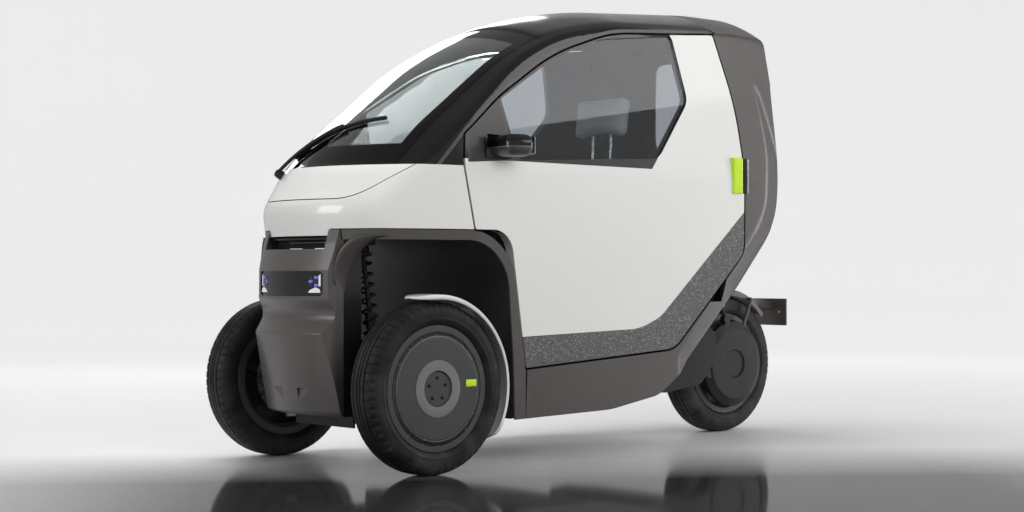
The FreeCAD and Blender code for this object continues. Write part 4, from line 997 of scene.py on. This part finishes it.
def blade_line(name, gap, radius):
    points = [on_screen(WIPER_BLADE, k / BLADE_STEPS, gap) for k in range(BLADE_STEPS + 1)]
    return tube_mesh(name, points, radius)


arm_gaps = ((0, 0.018), (0.3, 0.022), (0.7, 0.020), (1, 0.015))
arm = tube_mesh("arm", [on_screen(WIPER_ARM, share, gap) for share, gap in arm_gaps], 0.006)
hub = lathe("hub", WIPER_HUB, on_screen(WIPER_ARM, 0, 0.0005), on_screen(WIPER_ARM, 0, 0.026))
lie = on_screen(WIPER_BLADE, 1, 0.0) - on_screen(WIPER_BLADE, 0, 0.0)
clip = rounded_block("clip", on_screen(WIPER_ARM, 1, 0.013), (0.016, 0.044, 0.014), 0.004,
                     lie.to_track_quat("Y", "Z").to_matrix())
wiper = together("wiper_arm", [arm, blade_line("blade", 0.009, 0.005), hub, clip])
add_piece("wiper_arm", wiper, "cab", TRIM_BLACK, ["wiper"])
add_piece("wiper_rubber", blade_line("rubber", 0.003, 0.0028), "cab", SEAL_RUBBER)
print("wiper faces", len(wiper.polygons))

# %% [markdown]
# Each headlamp is a group of small square projectors over a white reflector. They stand just proud
# of the dark bar, which is slightly curved, so each corner is placed by looking for its face first.

# %% Headlamps and nose details
LAMP_TREE = tree_of("headlamp_bar")
PLATE_THICK, PROJECTOR_HALF = 0.002, (0.007, 0.0042)
REFLECTOR_PROUD, PROJECTOR_PROUD = 0.0025, 0.0015
# Corners as x and z
REFLECTOR_SHAPE = ((0.108, 0.5405), (0.154, 0.5405), (0.150, 0.5515), (0.136, 0.5565), (0.116, 0.549))
SIDE_SHAPE = ((0.1475, 0.560), (0.1535, 0.560), (0.1535, 0.596), (0.1475, 0.592))


# Painted light: this emission brightens the white reflector and the blue projectors past what the studio
# lights give them.
def painted_glow(name, colour, strength):
    material, tree, shader = surface(name, Roughness=0.2, Emission_Strength=strength, Emission_Color=colour)
    toned(tree, shader, colour, 0.05, 40.0)
    return material


# The faint glow of the blue projectors and the reflector is painted light.
LED_BLUE = painted_glow("led_blue", tint(104, 108, 190), 0.35)
REFLECTOR = painted_glow("reflector", tint(236, 238, 242), 0.15)
LED_DARK = plain_plastic("led_dark", tint(22, 22, 40), 0.2, 300.0, 0.00001, coat=0.8)


def lamp_plate(sign, corners, proud):
    """A flat plate that follows the bar's curve."""
    front = [skin_point(LAMP_TREE, (sign * x, -3.0, z), (0, 1, 0), proud) for x, z in corners]
    back = [p + Vector((0, PLATE_THICK, 0)) for p in front]
    count = len(corners)
    faces = [tuple(range(count)), tuple(range(2 * count - 1, count - 1, -1))]
    faces += [(i, i + count, (i + 1) % count + count, (i + 1) % count) for i in range(count)]
    return mesh_of("plate", front + back, faces)


def projector(sign, row, column):
    x, z, (wide, high) = 0.117 + 0.020 * column, 0.563 + 0.0115 * row, PROJECTOR_HALF
    return lamp_plate(sign, ((x - wide, z - high), (x + wide, z - high), (x + wide, z + high),
                             (x - wide, z + high)),
                      PROJECTOR_PROUD)


for side, sign in SIDES:
    white = [lamp_plate(sign, REFLECTOR_SHAPE, REFLECTOR_PROUD),
             lamp_plate(sign, SIDE_SHAPE, PROJECTOR_PROUD)]
    blue, dark = ([projector(sign, row, column) for row in range(3) for column in range(2)
                   if (row + column) % 2 == odd] for odd in (1, 0))
    add_piece("lamp_reflector_" + side, together("reflectors", white), "cab", REFLECTOR)
    add_piece("lamp_blue_" + side, together("blues", blue), "cab", LED_BLUE)
    add_piece("lamp_dark_" + side, together("darks", dark), "cab", LED_DARK)
grille = rounded_block("grille", (0, -1.052, 0.704), (0.308, 0.004, 0.058), 0.0015)
add_piece("nose_grille", grille, "cab", TRIM_BLACK)
add_piece("nose_bar", rounded_block("nose_bar", (0.030, -1.064, 0.692), (0.190, 0.010, 0.007), 0.002), "cab",
          SATIN)

# %% [markdown]
# A curved gusset carries the fascia's side up into the shell's underside. It is a sheet between a
# front curve and a rear curve, both quarter sweeps, with its gauge given by solidify.

# %% Gussets
GUSSET_STEPS, GUSSET_BANDS = 14, 4


def sweep(start, grow, turn):
    """A point of a quarter sweep: x and y grow as it leans out, z as it climbs."""
    lean, climb = 1 - math.cos(turn), math.sin(turn)
    return Vector((start[0] + grow[0] * lean, start[1] + grow[1] * lean, start[2] + grow[2] * climb))


for side, sign in SIDES:
    vertices = []
    for k in range(GUSSET_STEPS + 1):
        turn = math.pi / 2 * k / GUSSET_STEPS
        front = sweep((0.189, -1.092, 0.575), (0.070, 0.062, 0.138), turn)
        rear = sweep((0.189, -1.046, 0.520), (0.150, 0.062, 0.193), turn)
        spots = [front.lerp(rear, j / GUSSET_BANDS) for j in range(GUSSET_BANDS + 1)]
        vertices += [(sign * spot.x, spot.y, spot.z) for spot in spots]
    sheet = mesh_of("gusset", vertices, strip_faces(GUSSET_STEPS + 1, GUSSET_BANDS + 1))
    gauged(add_piece("gusset_" + side, sheet, "cab", SATIN))

# %% [markdown]
# Small outside trim: the black pocket behind each lime handle, and the mirrors. A mirror keeps the
# drawing's sail plate and gets a rounder cap, a pane of glass, and a thin bright line between the
# cap's gloss and satin halves.

# %% Handles and mirrors
MIRROR_GLASS = metal("mirror_glass", tint(190, 196, 200), 0.03, 4.0)
SAIL_CUT = 0.397
MIRROR_LINE = [(0.404, -0.655, 0.984), (0.440, -0.6555, 0.984), (0.476, -0.657, 0.984),
               (0.496, -0.649, 0.984),
               (0.5060, -0.630, 0.984), (0.5105, -0.602, 0.984), (0.5125, -0.580, 0.984)]
PANE_TURN = Matrix.Rotation(math.atan2(0.025, -0.124) + math.pi, 3, "Z")


def sail_plate(side, sign):
    """The drawn mirror without its head."""
    plate = NODES["mirror_" + side].data.copy()
    shape = opened(plate)
    everything = list(shape.verts) + list(shape.edges) + list(shape.faces)
    bmesh.ops.bisect_plane(shape, geom=everything, plane_co=(sign * SAIL_CUT, 0, 0), plane_no=(sign, 0, 0),
                           clear_outer=True)
    return closed(shape, plate)


for side, sign in SIDES:
    leaf = side + "_door_leaf"
    head = rounded_block("cap", (0.4535, -0.6015, 0.9895), (0.109, 0.100, 0.068), 0.030, tilted(-9, "Z"), 6)
    neck = rounded_block("neck", (0.402, -0.612, 0.976), (0.040, 0.050, 0.026), 0.008)
    pocket = rounded_block("pocket", (0.3905, 0.5585, 0.941), (0.004, 0.030, 0.124), 0.0018)
    pane = rounded_block("pane", (0.4555, -0.5490, 0.9895), (0.096, 0.0028, 0.052), 0.0012, PANE_TURN)
    add_piece("mirror_sail_" + side, sail_plate(side, sign), leaf, MIRROR_FINISH, ["mirror_" + side])
    side_piece("mirror_cap_", together("cap", [head, neck]), side, leaf, MIRROR_FINISH)
    side_piece("handle_pocket_", pocket, side, "cab", GLOSS_BLACK)
    side_piece("mirror_line_", tube_mesh("line", MIRROR_LINE, 0.0016), side, leaf, STEEL)
    side_piece("mirror_pane_", pane, side, leaf, MIRROR_GLASS)

# %% [markdown]
# Seats are foam under cloth. Each cushion starts as a rounded block a little smaller than its
# place and is blown up by a short cloth simulation, which swells its faces between the edges. Seat
# and back then get a row of sewn channels.

# %% Seats
VOXEL, PRESSURE, FRAMES, FARTHEST = 0.0095, 4.0, 20, 0.012
INSET, BEVEL_SHARE, FILL = 0.016, 0.36, 0.8
CHANNEL_WIDTH, CHANNEL_DEPTH, CHANNEL_END = 0.075, 0.006, 0.02
BACK_LEAN = 76.5


def as_it_stands(thing):
    return bpy.data.meshes.new_from_object(thing.evaluated_get(bpy.context.evaluated_depsgraph_get()))


def blown(name, mesh):
    """Blow a closed mesh up by cloth pressure and keep every point near where it began."""
    holder = linked(name, mesh)
    remesh = holder.modifiers.new("remesh", "REMESH")
    remesh.mode, remesh.voxel_size = "VOXEL", VOXEL
    bpy.context.view_layer.update()
    start = as_it_stands(holder)
    holder.modifiers.clear()
    holder.data = start
    cloth = holder.modifiers.new("cloth", "CLOTH")
    cloth.settings.use_pressure = True
    cloth.settings.uniform_pressure_force = PRESSURE
    cloth.settings.quality = 4
    cloth.settings.effector_weights.gravity = 0.0
    cloth.point_cache.frame_start, cloth.point_cache.frame_end = 1, FRAMES
    for step in range(1, FRAMES + 1):
        bpy.context.scene.frame_set(step)
    swollen = as_it_stands(holder)
    for before, after in zip(start.vertices, swollen.vertices):
        move = after.co - before.co
        if move.length > FARTHEST:
            after.co = before.co + move.normalized() * FARTHEST
    holder.modifiers.clear()
    holder.data = swollen
    bpy.context.scene.frame_set(1)
    result = holder.data
    bpy.data.objects.remove(holder)
    return result


def channels(mesh, to_local, count, half_width):
    """Press evenly spaced sewn channels across the cushion's upper face."""
    down = (to_local.inverted().to_3x3() @ Vector((0, 0, -1))).normalized()
    for vertex in mesh.vertices:
        spot = to_local @ vertex.co
        if spot.z < 0:
            continue
        phase = (spot.y / half_width + 1) / 2 * count
        valley = math.exp(-((phase - round(phase)) / CHANNEL_WIDTH) ** 2)
        edge = min(1.0, max(0.0, (half_width - abs(spot.y)) / CHANNEL_END))
        vertex.co += down * CHANNEL_DEPTH * valley * edge


def cushion(name, centre, sizes, lean, finish, stripes, replaced=()):
    """Sizes are across, long and thick; lean turns the long side up from level, in degrees."""
    turn = tilted(lean)
    inner = [value - INSET for value in sizes]
    mesh = blown(name, rounded_block(name, centre, inner, min(inner) * BEVEL_SHARE, turn, 4))
    if stripes:
        to_local = (Matrix.Translation(centre) @ turn.to_4x4()).inverted()
        channels(mesh, to_local, stripes, sizes[1] / 2)
    pad = add_piece(name, mesh, "cab", finish, replaced)
    mesh.shade_smooth()
    soften = pad.modifiers.new("soften", "SMOOTH")
    soften.factor, soften.iterations = 0.5, 3 if not stripes else 1
    round_off = pad.modifiers.new("round", "SUBSURF")
    round_off.levels = round_off.render_levels = 1


cushion("driver_cushion", (0, -0.105, 0.418), (0.43, 0.335, 0.105), -3, CLOTH_DARK, 4, ["driver_seat"])
cushion("driver_back", (0, 0.122, 0.740), (0.43, 0.560, 0.085), BACK_LEAN, CLOTH_DARK, 5)
cushion("driver_headrest", (0, 0.232, 1.153), (0.26, 0.156, 0.066), 82, CLOTH_PALE, 0)
cushion("passenger_cushion", (0, 0.430, 0.563), (0.38, 0.320, 0.075), -2, CLOTH_DARK, 3, ["passenger_seat"])
cushion("passenger_back", (0, 0.640, 0.830), (0.38, 0.440, 0.075), 80, CLOTH_DARK, 4)
shells = [rounded_block("shell", (0, -0.100, 0.334), (0.40, 0.30, 0.070), 0.012),
          rounded_block("back_shell", (0, 0.172, 0.735), (0.40, 0.540, 0.028), 0.012, tilted(BACK_LEAN))]
add_piece("seat_shell", together("seat_shell", shells), "cab", TRIM_BLACK)
posts = [tube_mesh("post", [(x, 0.226, 0.990), (x, 0.232, 1.090)], 0.006, smooth=False) for x in (-0.045,
                                                                                                  0.045)]
add_piece("headrest_posts", together("posts", posts), "cab", STEEL)

# %% [markdown]
# The dashboard carries a dark display, two round vents and a padded hood. Through the windscreen
# they give the eye something to rest on instead of a bare block.

# %% Dashboard
VENT = [(0.0, 0.020), (0.0, 0.036), (1.0, 0.034), (1.0, 0.026), (0.3, 0.024), (0.3, 0.0)]
hood = rounded_block("hood", (0, -0.745, 0.912), (0.30, 0.10, 0.020), 0.008, tilted(8))
display = rounded_block("display", (0, -0.690, 0.955), (0.200, 0.090, 0.009), 0.003, tilted(-68))
add_piece("dash_hood", hood, "cab", TRIM_BLACK)
add_piece("dash_display", display, "cab", GLOSS_BLACK)
for side, sign in SIDES:
    vent = lathe("vent", VENT, Vector((sign * 0.215, -0.672, 0.842)), Vector((sign * 0.215, -0.652, 0.848)))
    add_piece("vent_" + side, vent, "cab", GLOSS_BLACK)

# %% [markdown]
# The studio is a pale floor that curves up into a backdrop, so no horizon shows. Towards the camera
# the floor's colour turns dark in a polished patch that mirrors the wheels; that dark colour is painted
# shade. Far parts of it glow a little, for the camera and through glass only, so the background is
# pale without lighting the vehicle.
# Soft lights stand overhead and on each side. Two of them are hidden from reflections, and the
# world is dimmer in reflections too, which keeps the black parts black.

# %% Studio
TOWARDS_CAMERA = (0.80, -0.60)
# SHADED_FLOOR is painted shade: the floor's colour in the patch towards the camera.
PALE_FLOOR, SHADED_FLOOR, FLOOR_GLOW = tint(228, 228, 228), tint(48, 48, 49), 0.40
BOWL = [(3.0, 0.0), (8.0, 0.0), (10.0, 0.25), (11.5, 0.9), (12.6, 2.0), (13.4, 3.5), (13.9, 5.5), (14.0, 9.0)]
BOWL_STEPS = 96
WHITE = (1.0, 1.0, 1.0, 1.0)


def weighed(tree, here, by_x, by_y):
    """The sum of X and Y, each times its own factor."""
    return maths(tree, "ADD", maths(tree, "MULTIPLY", here["X"], by_x),
                 maths(tree, "MULTIPLY", here["Y"], by_y))


def floor_finish():
    material, tree, shader = surface("studio_floor", Roughness=0.30, IOR=1.3)
    here = axes_of(tree)
    ahead = weighed(tree, here, *TOWARDS_CAMERA)
    sideways = weighed(tree, here, -TOWARDS_CAMERA[1], TOWARDS_CAMERA[0])
    near = maths(tree, "MULTIPLY", ramp(tree, ahead, 0.15, 1.0), ramp(tree, ahead, 3.5, 5.5, 1.0, 0.0))
    middle = ramp(tree, maths(tree, "ABSOLUTE", sideways), 1.1, 2.4, 1.0, 0.0)
    # Painted shade: this mask darkens the floor's colour towards the camera. It also makes that patch
    # polished.
    dark = maths(tree, "MULTIPLY", near, middle)
    toned(tree, shader, mixed(tree, dark, PALE_FLOOR, SHADED_FLOOR), 0.01, 0.4)
    tree.links.new(ramp(tree, dark, 0.0, 1.0, 0.35, 0.07), shader.inputs["Roughness"])
    reach = maths(tree, "SQRT", weighed(tree, here, here["X"], here["Y"]))
    far = maths(tree, "MULTIPLY", ramp(tree, reach, 1.6, 6.0), maths(tree, "SUBTRACT", 1.0, dark))
    glow = maths(tree, "MULTIPLY", maths(tree, "MULTIPLY", seen_directly(tree)[0], far), FLOOR_GLOW)
    shader.inputs["Emission Color"].default_value = WHITE
    tree.links.new(glow, shader.inputs["Emission Strength"])
    return material


def seen_directly(tree):
    """One for rays from the camera or through glass, and the light path's other outputs."""
    paths = add(tree, "ShaderNodeLightPath").outputs
    return maths(tree, "MAXIMUM", paths["Is Camera Ray"], paths["Is Transmission Ray"]), paths


def backdrop():
    """One sheet: flat under the vehicle, bent up behind it, seen from every side as a round bowl."""
    shape = bmesh.new()
    rings = [[shape.verts.new((radius * math.cos(angle), radius * math.sin(angle), rise))
              for angle in (2 * math.pi * i / BOWL_STEPS for i in range(BOWL_STEPS))] for radius, rise in BOWL]
    shape.faces.new(rings[0])
    for lower, upper in zip(rings, rings[1:]):
        for i in range(BOWL_STEPS):
            j = (i + 1) % BOWL_STEPS
            shape.faces.new((lower[i], lower[j], upper[j], upper[i]))
    bmesh.ops.recalc_face_normals(shape, faces=shape.faces)
    mesh = closed(shape, "backdrop")
    mesh.shade_smooth()
    mesh.materials.append(floor_finish())
    linked("backdrop", mesh)


def soft_light(name, place, aim, width, height, power, mirrored=True):
    data = bpy.data.lights.new(name, "AREA")
    data.shape = "RECTANGLE"
    data.size, data.size_y = width, height
    data.energy = power
    lamp = linked(name, data)
    lamp.location = place
    lamp.rotation_euler = (Vector(aim) - Vector(place)).to_track_quat("-Z", "Y").to_euler()
    lamp.visible_glossy = mirrored


def studio_world(level, shown, mirrored_share):
    """The world lights the vehicle at one level and shows itself to camera and glass at another."""
    world = bpy.data.worlds.new("studio")
    world.use_nodes = True
    tree = world.node_tree
    seen, paths = seen_directly(tree)
    light = ramp(tree, paths["Is Glossy Ray"], 0.0, 1.0, level, mirrored_share * level)
    unseen = maths(tree, "MULTIPLY", light, maths(tree, "SUBTRACT", 1.0, seen))
    background = tree.nodes["Background"]
    background.inputs["Color"].default_value = WHITE
    tree.links.new(maths(tree, "ADD", maths(tree, "MULTIPLY", seen, shown), unseen),
                   background.inputs["Strength"])
    bpy.context.scene.world = world


backdrop()
soft_light("overhead", (-0.9, -0.6, 3.8), (0, -0.3, 0.5), 1.6, 2.6, 70, mirrored=False)
soft_light("side_card", (4.4, 3.4, 3.52), (0, 0, 0.9), 3.4, 1.9, 40)
soft_light("front_left", (5.0, -1.6, 2.2), (0, 0, 0.7), 2.6, 2.2, 104, mirrored=False)
soft_light("nose_light", (-0.9, -5.6, 1.9), (0, -1, 0.5), 1.6, 1.6, 45)
soft_light("rear_strip", (2.6, 5.2, 1.2), (0.3, 0.7, 0.9), 0.5, 2.4, 40)
soft_light("far_side", (-4.5, 2.0, 3.0), (0, 0, 1.0), 3.0, 2.0, 60)
studio_world(0.62, 0.84, 0.45)
bpy.context.scene.view_settings.view_transform = "Standard"
